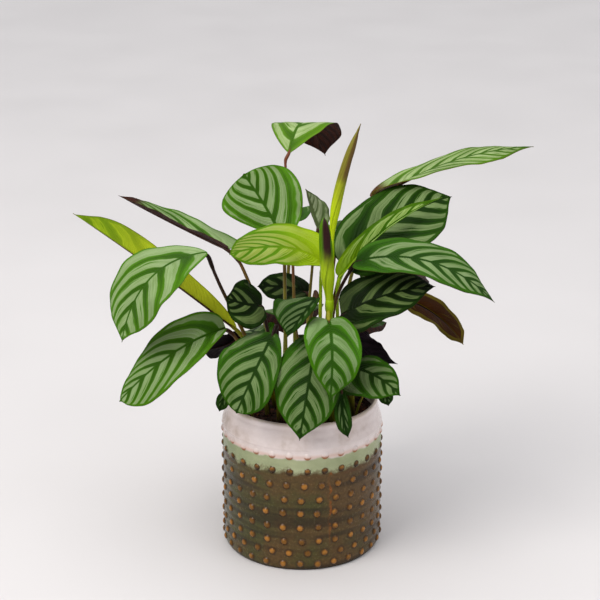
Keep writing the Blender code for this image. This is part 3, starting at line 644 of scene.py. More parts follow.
@dataclass(frozen=True)
class StalkShape:
    """Sizes that all stalks share, up to the ridge under the blade.

    Args:
        foot_depth: How deep the stalk stands in the soil.
        foot_swell: Its radius at the soil, against its usual one.
        taper: How much of that it loses up to the knee.
        first_lean: Share of the way outwards that its lower part leans to.
        first_rise: Share of its height that the lower part takes.
        knee_rise: Share of its height that the bend below the knee takes.
        joint_swell: Radius of the thick joint piece, against the stalk's.
        joint_bulge: How much thicker that piece is half way along.
        joint_place: Place on the map where the joint piece starts.
        sides: Corners of each ring.
        steps: Rings from the soil to the knee.
        joint_steps: Rings of the joint piece.
        bend_rounds: How often the bends at the knee and the joint are smoothed.
        bend_reach: Rings to each side that are smoothed.
        rib_share: Radius of the ridge under the blade, against the stalk's.
        rib_power: How slowly the ridge thins.
        rib_least: Radius at its end.
        rib_depth: Share of its radius that it lies below the blade.
        rib_end: Where it ends, as a share of the midrib.
        rib_steps: Its rings.
    """

    foot_depth: float = 10.0
    foot_swell: float = 1.25
    taper: float = 0.3
    first_lean: float = 0.1
    first_rise: float = 0.4
    knee_rise: float = 0.3
    joint_swell: float = 1.1
    joint_bulge: float = 0.18
    joint_place: float = 0.93
    sides: int = 12
    steps: int = 30
    joint_steps: int = 6
    bend_rounds: int = 3
    bend_reach: int = 4
    rib_share: float = 0.6
    rib_power: float = 0.8
    rib_least: float = 0.12
    rib_depth: float = 0.8
    rib_end: float = 0.93
    rib_steps: int = 26


@dataclass(frozen=True)
class BladeShape:
    """Sizes that all blades share.

    Args:
        thickness: Thickness at the midrib.
        edge_thinning: Share of it that is lost at the edge.
        rows: Points along the midrib.
        half_columns: Points from the midrib to an edge.
        end_crowding: How much closer the rows stand at both ends.
        rib_crowding: How much closer the columns stand at the midrib, from 1 for even.
        point_start: Where a blade starts to narrow to its point.
        point_span: Share of the blade that the last narrowing takes.
        tip_start: Where the outline ends and the fine tip begins.
        tip_span: Share of the midrib over which the fine tip narrows.
        tip_radius: Half width of the fine tip where it starts.
        tip_end: Half width of its end.
        least_reach: Least width of a half.
        full_wave_share: Share of the width at which the edge's waves are full.
        waves: Long waves along each edge.
        wave_shift: How far the right half's waves lie behind the left half's.
        small_wave: Height of the short waves, against the long ones.
        small_waves: Short waves along each edge.
        small_wave_shift: How far the right half's short waves lie behind.
        lobe_power: How late the lobe starts on the way to the edge.
        lobe_fade: How fast the lobe ends along the midrib.
        stripe_crowding: How much closer the stripes stand towards the tip.
        vein_turn: How soon the side veins lean forward.
        vein_start: Their lean at the midrib.
        vein_bend: How much more they lean at the edge.
        pleat: Height of the low folds along the stripes.
        groove: Depth of the groove over the midrib.
        groove_width: Its half width.
        crease: Angle above which an edge stays sharp.
    """

    thickness: float = 0.42
    edge_thinning: float = 0.45
    rows: int = 60
    half_columns: int = 13
    end_crowding: float = 0.4
    rib_crowding: float = 1.25
    point_start: float = 0.76
    point_span: float = 0.1
    tip_start: float = 0.99
    tip_span: float = 0.05
    tip_radius: float = 0.8
    tip_end: float = 0.15
    least_reach: float = 0.3
    full_wave_share: float = 0.25
    waves: float = 2
    wave_shift: float = 0.31
    small_wave: float = 0.3
    small_waves: float = 5.3
    small_wave_shift: float = 0.4
    lobe_power: float = 1.5
    lobe_fade: float = 8
    stripe_crowding: float = 1.35
    vein_turn: float = 0.4
    vein_start: float = 0.7
    vein_bend: float = 0.55
    pleat: float = 0.14
    groove: float = 0.35
    groove_width: float = 1.1
    crease: float = 60.0


@dataclass(frozen=True)
class RollShape:
    """Sizes that both spears share.

    Args:
        sides: Points round the roll.
        shoulder: Where the roll reaches its full radius.
        tip_radius: Least radius at its tip.
        inner: Radius where the outer edge starts to lie on the roll, against the mean one.
        outer: Radius of the outer edge itself.
        seam_start: Angle of that edge at the joint, in degrees.
        seam_twist: How far it winds round up to the tip, in degrees.
    """

    sides: int = 33
    shoulder: float = 0.3
    tip_radius: float = 0.3
    inner: float = 0.9
    outer: float = 1.06
    seam_start: float = 200.0
    seam_twist: float = 150.0


@dataclass(frozen=True)
class Leaf:
    """One leaf: a stalk from the soil to the joint, and a blade from there to the tip.

    Args:
        name: Name of the solid that it stands for.
        root: Place in plan where the stalk leaves the soil.
        knee: Where the stalk bends into the short thick piece that holds the blade.
        joint: Where the blade starts.
        tip: Where the blade ends.
        bow: How far the middle of the midrib lies from the straight line between its ends.
        width: Full width of the blade.
        face: Way the upper face looks at the joint.
        face_tip: Way the upper face looks at the tip, where it differs.
        rise: Angle at which the left and the right half leave the midrib, seen on the upper
            face with the tip pointing away.
        rise_tip: The same at the tip, where it differs.
        curl: Angle that each half turns through from the midrib to its edge.
        halves: Width of each half as a share of half the width.
        shape: Powers that round the outline at the base and at the tip.
        right_shape: The same for the right half, where it differs.
        ripple: Height of the waves along the edge.
        lobe: How far the base of the blade reaches back past the joint.
        point: How sharply the blade narrows before its tip, from 0 for blunt.
        stalk: Radius of the stalk.
        lean: How early the stalk leans towards the knee, where 1 is late.
        look: Finishes and the run of the stripes.
        blade: Sizes that it shares with all blades.
        stem: Sizes that it shares with all stalks.
        roll: Sizes that the spears share.
    """

    name: str
    root: Pair
    knee: Point
    joint: Point
    tip: Point
    bow: Point
    width: float
    face: Point
    face_tip: Point | None = None
    rise: Pair = (8, 8)
    rise_tip: Pair | None = None
    curl: Pair = (-14, -14)
    halves: Pair = (1.0, 1.0)
    shape: Pair = (0.42, 0.48)
    right_shape: Pair | None = None
    ripple: float = 1.2
    lobe: float = 4.0
    point: float = 0.42
    stalk: float = 1.5
    lean: float = 0.45
    look: Look = Look()
    blade: BladeShape = BladeShape()
    stem: StalkShape = StalkShape()
    roll: RollShape = RollShape()

    def half_width(self, t: np.ndarray, side: int) -> np.ndarray:
        """Return how far one half of the blade reaches from the midrib.

        Args:
            t: Places along the midrib, from 0 at the joint to 1 at the tip.
            side: 0 for the left half and 1 for the right one.

        Returns:
            Widths, before the half's own share of them.
        """
        form = self.blade
        p, q = self.right_shape if side and self.right_shape else self.shape
        u = np.clip(t / form.tip_start, 0.0, 1.0)
        peak = (p / (p + q)) ** p * (q / (p + q)) ** q
        body = 0.5 * self.width * u ** p * (1 - u) ** q / peak
        body = body * (1 - self.point * fade(t, form.point_start, form.tip_start))
        sharp = min(1.0, 2 * self.point) * max(0.0, 1 - q)
        body = body * np.minimum(1.0, (1 - u) / form.point_span) ** sharp
        end = form.tip_radius * np.minimum(1.0, (1 - t) / form.tip_span) + form.tip_end
        return np.maximum(body, end)

    def midrib(self, t: np.ndarray) -> tuple[np.ndarray, np.ndarray, np.ndarray, np.ndarray]:
        """Return places on the midrib and the directions there.

        Args:
            t: Places along it, from 0 at the joint to 1 at the tip.

        Returns:
            The places, and three directions at each: along, up from the face, and across.
        """
        joint, tip, bow = (np.array(point, dtype=float) for point in (self.joint, self.tip, self.bow))
        t = t[:, None]
        place = (1 - t) * joint + t * tip + 4 * t * (1 - t) * bow
        along = unit(tip - joint + 4 * (1 - 2 * t) * bow)
        face = unit(self.face) * (1 - t) + unit(self.face_tip or self.face) * t
        up = unit(face - np.sum(face * along, axis=1, keepdims=True) * along)
        return place, along, up, np.cross(along, up)

    def length(self) -> float:
        """Return the length of the midrib."""
        place = self.midrib(np.linspace(0, 1, 40))[0]
        return float(np.linalg.norm(np.diff(place, axis=0), axis=1).sum())

    def reach(self, t: np.ndarray, side: int) -> np.ndarray:
        """Return how far each half really reaches, with its own share of the width."""
        return np.maximum(self.half_width(t, side) * self.halves[side], self.blade.least_reach)

    def stripes(self, t: np.ndarray, out: np.ndarray, side: int) -> np.ndarray:
        """Return how many stripes lie between the joint and a point of the blade.

        The side veins leave the midrib almost square near the joint and lean forward more and more
        towards the tip, where they also stand closer together.

        Args:
            t: Places along the midrib, as a column.
            out: Places across each half, from 0 at the midrib to 1 at the edge.
            side: 0 for the left half and 1 for the right one.

        Returns:
            Numbers of stripes, whole where a pale band is in its middle.
        """
        form = self.blade
        share = self.reach(t, side) / self.length()
        lean = form.vein_start + form.vein_bend * out ** 2
        start = t - self.look.slant[side] * t ** form.vein_turn * share * out * lean
        behind = self.look.base_pace * np.minimum(start, 0.0)
        ahead = np.maximum(start, 0.0) ** form.stripe_crowding
        return self.look.bands * (ahead + behind) + self.look.first[side]

    def sheet(self, t: np.ndarray, s: np.ndarray) -> np.ndarray:
        """Return the blade's middle surface.

        Args:
            t: Places along the midrib, from 0 to 1.
            s: Places across it, from -1 at the left edge to 1 at the right one.

        Returns:
            Points as rows by columns by three.
        """
        form = self.blade
        place, along, up, across = (made[:, None] for made in self.midrib(t))
        side = (s > 0).astype(int)
        m = np.abs(s)
        reach = np.stack([self.reach(t, 0), self.reach(t, 1)], axis=1)[:, side]
        blend = np.sqrt(t)[:, None]
        rise_tip = np.array(self.rise_tip or self.rise)[side]
        rise = np.radians(np.array(self.rise)[side] * (1 - blend) + rise_tip * blend)
        curl = np.radians(np.array(self.curl)[side])
        out = (np.sin(rise + curl * m) - np.sin(rise)) / curl
        lift = (np.cos(rise) - np.cos(rise + curl * m)) / curl
        spread = np.minimum(1.0, reach / (form.full_wave_share * self.width))
        t = t[:, None]
        wave = np.sin(FULL_TURN * (form.waves * t + form.wave_shift * side)) * m ** 2
        small = np.sin(FULL_TURN * (form.small_waves * t + form.small_wave_shift * side)) * m ** 3
        wave = wave + form.small_wave * small
        pleat = np.where(side > 0, self.stripes(t, m, 1), self.stripes(t, m, 0))
        pleat = form.pleat * np.cos(FULL_TURN * pleat) * fade(m, 0.0, 0.25) * fade(reach, 4.0, 14.0)
        groove = form.groove * np.exp(-(m * reach / form.groove_width) ** 2) * (1 - t) * fade(reach, 2.0, 8.0)
        lift = lift * reach + self.ripple * wave * spread + pleat - groove
        back = self.lobe * m ** form.lobe_power * (1 - t) ** form.lobe_fade * spread
        aside = np.sign(s) * out * reach
        return place + across * aside[..., None] + up * lift[..., None] - along * back[..., None]

    def add_blade(self, patch: Patch) -> None:
        """Add the blade: two faces that close along its edge, with the three maps that its skin reads.

        Args:
            patch: The leaf's piece.
        """
        form = self.blade
        lin = np.linspace(0, 1, form.rows)
        t = (1 - form.end_crowding) * lin + form.end_crowding * (0.5 - 0.5 * np.cos(math.pi * lin))
        m = np.linspace(0, 1, form.half_columns) ** form.rib_crowding
        s = np.concatenate((-m[:0:-1], m))
        grid = self.sheet(t, s)
        up = np.broadcast_to(self.midrib(t)[2][:, None], grid.shape)
        normal = np.cross(np.gradient(grid, axis=1), np.gradient(grid, axis=0))
        normal = unit(unit(normal) + 0.05 * up)
        normal[[0, -1]] = up[[0, -1]]
        thick = form.thickness / 2 * (1 - form.edge_thinning * np.abs(s) ** 3)[None, :, None]
        rings = np.concatenate((grid + normal * thick, (grid - normal * thick)[:, ::-1]), axis=1)
        count = rings.shape[1]
        faces = sweep_faces(len(t), count)
        around = np.concatenate((s, s[::-1], s[:1]))
        right = np.tile((around[:-1] + around[1:]) / 2 > 0, len(t) - 1)
        finish = np.tile((np.arange(count) >= len(s) - 1).astype(int), len(t) - 1)
        out = np.abs(around)[None, :]
        column = t[:, None]
        length = self.length()
        seed = (sum(map(ord, self.name)) % 17) / 17
        maps: dict[str, np.ndarray] = {}
        for side in (0, 1):
            reach = self.reach(column, side)
            edge = np.minimum((1 - out) * reach, (1 - column) * length + 0.4)
            wide = np.broadcast_to(column, edge.shape)
            tag = np.full(edge.shape, seed + side * 0.37)
            made = {"veins": np.stack((self.stripes(column, out, side), out + 0 * column), axis=-1),
                    "place": np.stack((wide, edge / UV_SPAN), axis=-1),
                    "rib": np.stack((out * reach / UV_SPAN, tag), axis=-1)}
            for name, values in made.items():
                quads = sweep_map(values)
                maps[name] = quads if side == 0 else np.where(right[:, None, None], quads, maps[name])
        points = rings.reshape(-1, 3)
        strip = np.arange(len(s) - 1)
        low = np.stack((strip + 1, strip, count - 1 - strip, count - 2 - strip), axis=-1)
        first = low[:, [0, 1, 2, 3]]
        last = low[:, [1, 0, 3, 2]] + (len(t) - 1) * count
        faces = np.vstack((faces, first, last))
        finish = np.concatenate((finish, np.ones(2 * len(strip), dtype=int)))
        for name, values in maps.items():
            maps[name] = np.concatenate((values, np.zeros((2 * len(strip), 4, 2))))
        patch.add(points, faces, finish, maps)

    def add_spear(self, patch: Patch) -> None:
        """Add the rolled blade: one sheet wound round itself, with the step of its outer edge.

        Args:
            patch: The leaf's piece.
        """
        form = self.roll
        t = np.linspace(0, 1, self.blade.rows)
        place, _, up, across = (made[:, None] for made in self.midrib(t))
        wound = np.linspace(0, FULL_TURN, form.sides)
        angle = math.radians(form.seam_start) + math.radians(form.seam_twist) * t[:, None] + wound
        radius = np.maximum(self.half_width(t, 0), self.stalk * np.sqrt(1 - t))
        neck = self.stalk * self.stem.joint_swell
        radius = neck + (radius - neck) * fade(t, 0.0, form.shoulder)
        radius = np.maximum(radius, form.tip_radius)[:, None]
        radius = radius * (form.inner + (form.outer - form.inner) * wound / FULL_TURN)
        facing = np.cos(angle)[..., None] * across - np.sin(angle)[..., None] * up
        rings = place + radius[..., None] * facing
        side = 0.5 + 0.5 * facing[..., 0]
        closed = np.concatenate((np.arange(form.sides), (0,)))
        tall = np.broadcast_to(t[:, None], side.shape)
        maps = {"veins": np.stack((np.broadcast_to(wound / FULL_TURN, side.shape), side), axis=-1)[:, closed],
                "place": np.stack((tall, side), axis=-1)[:, closed]}
        add_tube(patch, rings, (place[0, 0], place[-1, 0]), 0, maps)

    def add_stalk(self, patch: Patch) -> None:
        """Add the stalk, the thick joint piece, and the raised midrib under the blade.

        Args:
            patch: The leaf's piece.
        """
        form = self.stem
        root = np.array((*self.root, SOIL_TOP), dtype=float)
        knee = np.array(self.knee, dtype=float)
        joint = np.array(self.joint, dtype=float)
        run = np.array((knee[0] - root[0], knee[1] - root[1], 0.0))
        rise = np.array((0.0, 0.0, knee[2] - root[2]))
        first = root + form.first_lean * run + form.first_rise * rise
        second = knee - self.lean * run - form.knee_rise * rise
        u = np.linspace(0, 1, form.steps)[:, None]
        v = 1 - u
        path = v ** 3 * root + 3 * v * v * u * first + 3 * v * u * u * second + u ** 3 * knee
        radii = self.stalk * (form.foot_swell - form.taper * u[:, 0])
        bend = np.linspace(0, 1, form.joint_steps + 1)[1:, None]
        path = np.vstack((root - (0, 0, form.foot_depth), path, knee + bend * (joint - knee)))
        swell = self.stalk * (form.joint_swell + form.joint_bulge * np.sin(math.pi * bend[:, 0]))
        radii = np.concatenate(((self.stalk * form.foot_swell,), radii, swell))
        up_stalk = np.linspace(0, form.joint_place, form.steps)[1:]
        up_joint = form.joint_place + (1 - form.joint_place) * bend[:, 0]
        height = np.concatenate(((0.0, 0.0), up_stalk, up_joint))
        if self.look.roll is None:
            t = np.linspace(0, form.rib_end, form.rib_steps)[1:]
            rib = self.stalk * form.rib_share * (1 - t / form.rib_end) ** form.rib_power + form.rib_least
            place, _, up, _ = self.midrib(t)
            sunk = rib * form.rib_depth + self.blade.groove * (1 - t)
            path = np.vstack((path, place - up * sunk[:, None]))
            radii = np.concatenate((radii, rib))
            height = np.concatenate((height, 1 + t))
        bent = slice(form.steps - form.bend_reach, form.steps + form.joint_steps + form.bend_reach)
        for _ in range(form.bend_rounds):
            inner = path.copy()
            inner[1:-1] = (path[:-2] + 2 * path[1:-1] + path[2:]) / 4
            path[bent] = inner[bent]
        rings = tube_rings(path, radii, form.sides)
        around = np.linspace(0, 1, form.sides + 1)
        place = np.stack(np.broadcast_arrays(height[:, None], around[None, :]), axis=-1)
        ahead = unit(path[-1] - path[-2]) * radii[-1]
        add_tube(patch, rings, (path[0], path[-1] + ahead), 2, {"place": place})

    def build(self, finish: "Finishes") -> bpy.types.Object:
        """Build and dress the leaf, and let it stand for its solid.

        Args:
            finish: Where the materials come from.

        Returns:
            The piece.
        """
        patch = Patch(("veins", "place", "rib"))
        look = self.look
        if look.roll is None:
            self.add_blade(patch)
            skins = [finish.of(look.upper), finish.of(look.under)]
        else:
            self.add_spear(patch)
            skins = [finish.of(look.roll)] * 2
        self.add_stalk(patch)
        piece = patch.piece(f"{self.name}_grown", [*skins, finish.of(look.stem)], self.blade.crease)
        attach(piece, "root")
        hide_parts(self.name)
        return piece

    @property
    def slot(self) -> str:
        """Name of the material slot that the leaf belongs to."""
        return "young_leaf" if self.look.young else "mature_leaf"


# The tall leaves, from the left round to the right
CROWN_LEAVES = (
    Leaf("leaf_01_left_broad", root=(-30, 2), knee=(-75, -8, 253), joint=(-79, -18, 271),
         tip=(-149, -52, 204), bow=(-11, -5, 18), width=74, face=(-0.3, -0.2, 0.95),
         face_tip=(-0.8, -0.55, 0.3), rise=(10, 4), rise_tip=(0, 8), curl=(-26, -8), halves=(0.85, 1.12),
         shape=(0.62, 0.48), lobe=0, lean=0.3,
         look=Look(Skin.SILVER, stem=Stem.DARK, bands=5.3, slant=(1.2, 2.0), first=(0.05, 0.0), young=True)),
    Leaf("leaf_02_left_rolled", root=(-24, 10), knee=(-51, 8, 185), joint=(-57, 8, 193),
         tip=(-195, 24, 292), bow=(4, -2, 0), width=34, face=(0.45, 0.5, 0.75), rise=(60, 60),
         curl=(10, 10), shape=(0.55, 0.25), ripple=0.3, lobe=0,
         look=Look(Skin.FRESH_ROLL, Skin.FRESH_UNDER_LIT, Stem.YELLOW, bands=5, young=True)),
    Leaf("leaf_03_upper_left", root=(-16, 2), knee=(-53, 14, 252), joint=(-63, 12, 264),
         tip=(-158, 44, 302), bow=(-2, 6, -2), width=50, face=(0.05, -0.15, 1.0), rise=(45, 0),
         curl=(10, -8), halves=(0.4, 1.0), shape=(0.2, 0.5), lobe=8,
         look=Look(Skin.SILVER_ROLLED, slant=(3.0, 3.0), first=(0.1, 0.0))),
    Leaf("leaf_04_lime_centre", root=(15, -8), knee=(16, 0, 246), joint=(19, 0, 255), tip=(-60, -30, 273),
         bow=(4, -1, 11), width=46, face=(-0.1, -0.55, 0.85), rise=(12, 20), rise_tip=(-6, 4),
         curl=(-10, -12), halves=(0.8, 1.15), shape=(0.6, 0.4), right_shape=(0.16, 0.42), lobe=0,
         point=0.16,
         look=Look(Skin.LIME, Skin.LIME_UNDER, Stem.LIME, slant=(2.0, 4.2), young=True)),
    Leaf("leaf_05_top", root=(-6, 46), knee=(-15, 54, 330), joint=(-11, 57, 336), tip=(21, 120, 317),
         bow=(-3, 2, 28), width=62, face=(-0.1, 0.0, 1.0), rise=(4, 4), curl=(-10, -10), shape=(0.8, 0.6),
         lobe=0, stalk=1.2, lean=0.9,
         look=Look(Skin.FINE, stem=Stem.PINK, bands=5)),
    Leaf("leaf_06_upper_round", root=(-14, 12), knee=(-15, 12, 260), joint=(-15, 13, 270),
         tip=(-50, 42, 322), bow=(2, 2, -1), width=72, face=(-0.3, -0.55, 0.8), rise=(6, 6),
         halves=(0.9, 1.0), shape=(1.3, 0.36), right_shape=(0.7, 0.4), lobe=0, point=0.12,
         look=Look(Skin.SILVER, bands=4.8, slant=(1.7, 1.8))),
    Leaf("leaf_07_spear_tall", root=(24, 10), knee=(25, 8, 254), joint=(25, 8, 273), tip=(49, 18, 372),
         bow=(-4, -1, 0), width=9, face=(0.3, -0.9, 0.1), shape=(0.3, 0.45), stalk=2.0,
         look=Look(stem=Stem.LIME, roll=Roll.TALL, young=True)),
    Leaf("leaf_08_spear_short", root=(24, -24), knee=(23, -26, 221), joint=(23, -26, 232),
         tip=(18, -26, 304), bow=(0, 0, 1), width=12, face=(0.1, -0.95, 0.1), shape=(0.12, 0.22),
         point=0.14, stalk=3.0,
         look=Look(stem=Stem.LIME, roll=Roll.SHORT, young=True)),
    Leaf("leaf_09_small_back", root=(2, 16), knee=(11, 18, 270), joint=(14, 18, 280), tip=(3, 30, 312),
         bow=(0, 0, 1), width=25, face=(0.3, -0.5, 0.8), rise=(10, 10), curl=(-10, -10), halves=(0.2, 1.2),
         shape=(0.4, 0.9), lobe=0, stalk=1.2,
         look=Look(Skin.DUSK, Skin.DUSK, bands=5)),
    Leaf("leaf_10_top_right", root=(28, 46), knee=(59, 64, 282), joint=(63, 67, 292), tip=(205, 98, 331),
         bow=(-1, 2, 10), width=48, face=(-0.05, 0.0, 1.0), rise=(6, 74), rise_tip=(6, -24),
         curl=(-10, -16), halves=(1.0, 0.85), shape=(0.34, 0.7), lobe=3,
         look=Look(Skin.FINE_ROLLED, Skin.OLIVE_MAROON, bands=9, slant=(2.6, 2.6))),
    Leaf("leaf_11_right_oval", root=(16, 20), knee=(31, 12, 236), joint=(36, 14, 247), tip=(130, 54, 298),
         bow=(0, 2, 10), width=68, face=(-0.1, -0.6, 0.78), rise=(32, 8), rise_tip=(-2, 8), curl=(-10, -10),
         halves=(1.0, 1.15), shape=(0.36, 0.5), lobe=0,
         look=Look(Skin.SHADY, bands=5, slant=(1.9, 1.6), first=(0.2, 0.5), base_pace=1.0)),
    Leaf("leaf_12_lime_narrow", root=(32, 12), knee=(30, 9, 228), joint=(32, 8, 240), tip=(120, 35, 303),
         bow=(-5, -4, 8), width=24, face=(0.0, -0.4, 0.85), rise=(55, 45), curl=(5, 5), shape=(0.34, 0.8),
         ripple=0.4, lobe=0,
         look=Look(Skin.NARROW_LIME, Skin.NARROW_LIME, Stem.LIME, bands=4, slant=(4.0, 4.0), young=True)),
    Leaf("leaf_13_right_arching", root=(26, 2), knee=(40, -5, 249), joint=(45, -9, 260),
         tip=(158, -52, 239), bow=(4, -8, 20), width=53, face=(0.1, -0.3, 0.95), rise=(34, 0),
         rise_tip=(0, 6), curl=(-18, -10), halves=(1.0, 0.88), shape=(0.36, 0.55), lobe=2, lean=1.6,
         look=Look(Skin.RICH, stem=Stem.DARK, bands=7.4, slant=(2.2, 2.2), first=(0.45, 0.4), base_pace=0.7)),
    Leaf("leaf_14_right_dark", root=(34, -20), knee=(30, -20, 205), joint=(33, -21, 216),
         tip=(110, -41, 249), bow=(-2, -2, 6), width=62, face=(0.05, -0.45, 0.9), rise=(18, 8),
         rise_tip=(0, 8), curl=(-10, -14), halves=(0.95, 1.0), shape=(0.24, 0.55), lobe=0,
         look=Look(Skin.SHADE, stem=Stem.DARK, bands=5, base_pace=0.9)),
    Leaf("leaf_15_right_under", root=(42, 4), knee=(61, 6, 220), joint=(71, 6, 226), tip=(138, -10, 185),
         bow=(6, 4, 6), width=42, face=(0.45, 0.7, 0.5), rise=(4, 4), curl=(-10, -10), halves=(0.8, 1.05),
         shape=(0.4, 0.36), lobe=0,
         look=Look(Skin.MATURE, Skin.OLIVE_MAROON, Stem.DARK)),
    Leaf("leaf_16_left_low", root=(-30, -10), knee=(-58, -10, 194), joint=(-65, -10, 200),
         tip=(-152, -62, 155), bow=(0, -6, 12), width=52, face=(-0.1, -0.7, 0.7),
         face_tip=(-0.2, -0.35, 0.9), rise=(60, 40), rise_tip=(-10, -6), curl=(-12, -12), shape=(0.6, 0.3),
         right_shape=(0.36, 0.55), lobe=0, point=0.1,
         look=Look(Skin.SILVER, bands=6.3, slant=(2.2, 2.4), first=(0.1, 0.2))),
)

# The leaves that hang over the front of the pot
FRONT_LEAVES = (
    Leaf("leaf_17_front_left_round", root=(-20, -22), knee=(-21, -20, 208), joint=(-24, -26, 202),
         tip=(-54, -82, 153), bow=(2, -12, 10), width=70, face=(-0.25, -0.7, 0.6),
         face_tip=(-0.25, -0.9, 0.25), rise=(4, 4), curl=(-16, -14), halves=(0.6, 1.0), shape=(0.7, 0.3),
         right_shape=(0.3, 0.42), lobe=9, point=0.12,
         look=Look(Skin.MATURE, stem=Stem.DARK, bands=5.4, slant=(1.5, 1.7), first=(0.1, 0.3))),
    Leaf("leaf_18_front_centre", root=(6, -28), knee=(15, -30, 211), joint=(13, -37, 205),
         tip=(-2, -85, 130), bow=(0, -15, 10), width=61, face=(-0.2, -0.8, 0.45),
         face_tip=(-0.1, -0.95, 0.15), rise=(4, 4), curl=(-12, -10), halves=(0.9, 0.95), shape=(0.44, 0.56),
         look=Look(Skin.MATURE, stem=Stem.DARK, bands=5.6, slant=(1.7, 1.7), first=(0.3, 0.6))),
    Leaf("leaf_19_front_bright", root=(16, -31), knee=(22, -35, 226), joint=(22, -41, 220),
         tip=(23, -93, 170), bow=(2, -13, 11), width=49, face=(0.05, -0.75, 0.6),
         face_tip=(0.05, -0.95, 0.2), rise=(4, 6), curl=(-10, -20), halves=(1.0, 0.92), shape=(0.44, 0.54),
         right_shape=(0.3, 0.7), lobe=9,
         look=Look(Skin.BRIGHT, stem=Stem.YELLOW, bands=4.6, slant=(1.6, 1.8), first=(0.05, 0.1))),
    Leaf("leaf_20_right_front_small", root=(36, -26), knee=(36, -36, 178), joint=(43, -42, 177),
         tip=(81, -76, 166), bow=(1, -5, 6), width=44, face=(0.15, -0.7, 0.7), rise=(6, 6), curl=(-12, -20),
         halves=(0.8, 1.22), shape=(0.24, 0.7), lobe=2,
         look=Look(Skin.MATURE, bands=4, first=(0.35, 0.45), base_pace=0.6)),
    Leaf("leaf_21_right_purple", root=(44, -8), knee=(38, -8, 202), joint=(41, -10, 196),
         tip=(81, -26, 174), bow=(-5, 0, -3), width=38, face=(0.6, -0.4, 0.7), rise=(10, 10),
         curl=(-10, -10), halves=(1.0, 0.85), shape=(0.42, 0.85),
         look=Look(Skin.PURPLE, Skin.PURPLE, Stem.DARK, bands=5)),
    Leaf("leaf_23_centre_hanging", root=(0, -14), knee=(11, -19, 238), joint=(13, -26, 234),
         tip=(-12, -58, 211), bow=(2, -4, 6), width=54, face=(-0.35, -0.6, 0.7), rise=(6, 6),
         curl=(-10, -10), halves=(0.22, 1.15), shape=(0.4, 0.42), lobe=2,
         look=Look(Skin.SHADED_DEEP, bands=5, slant=(1.9, 2.6))),
)

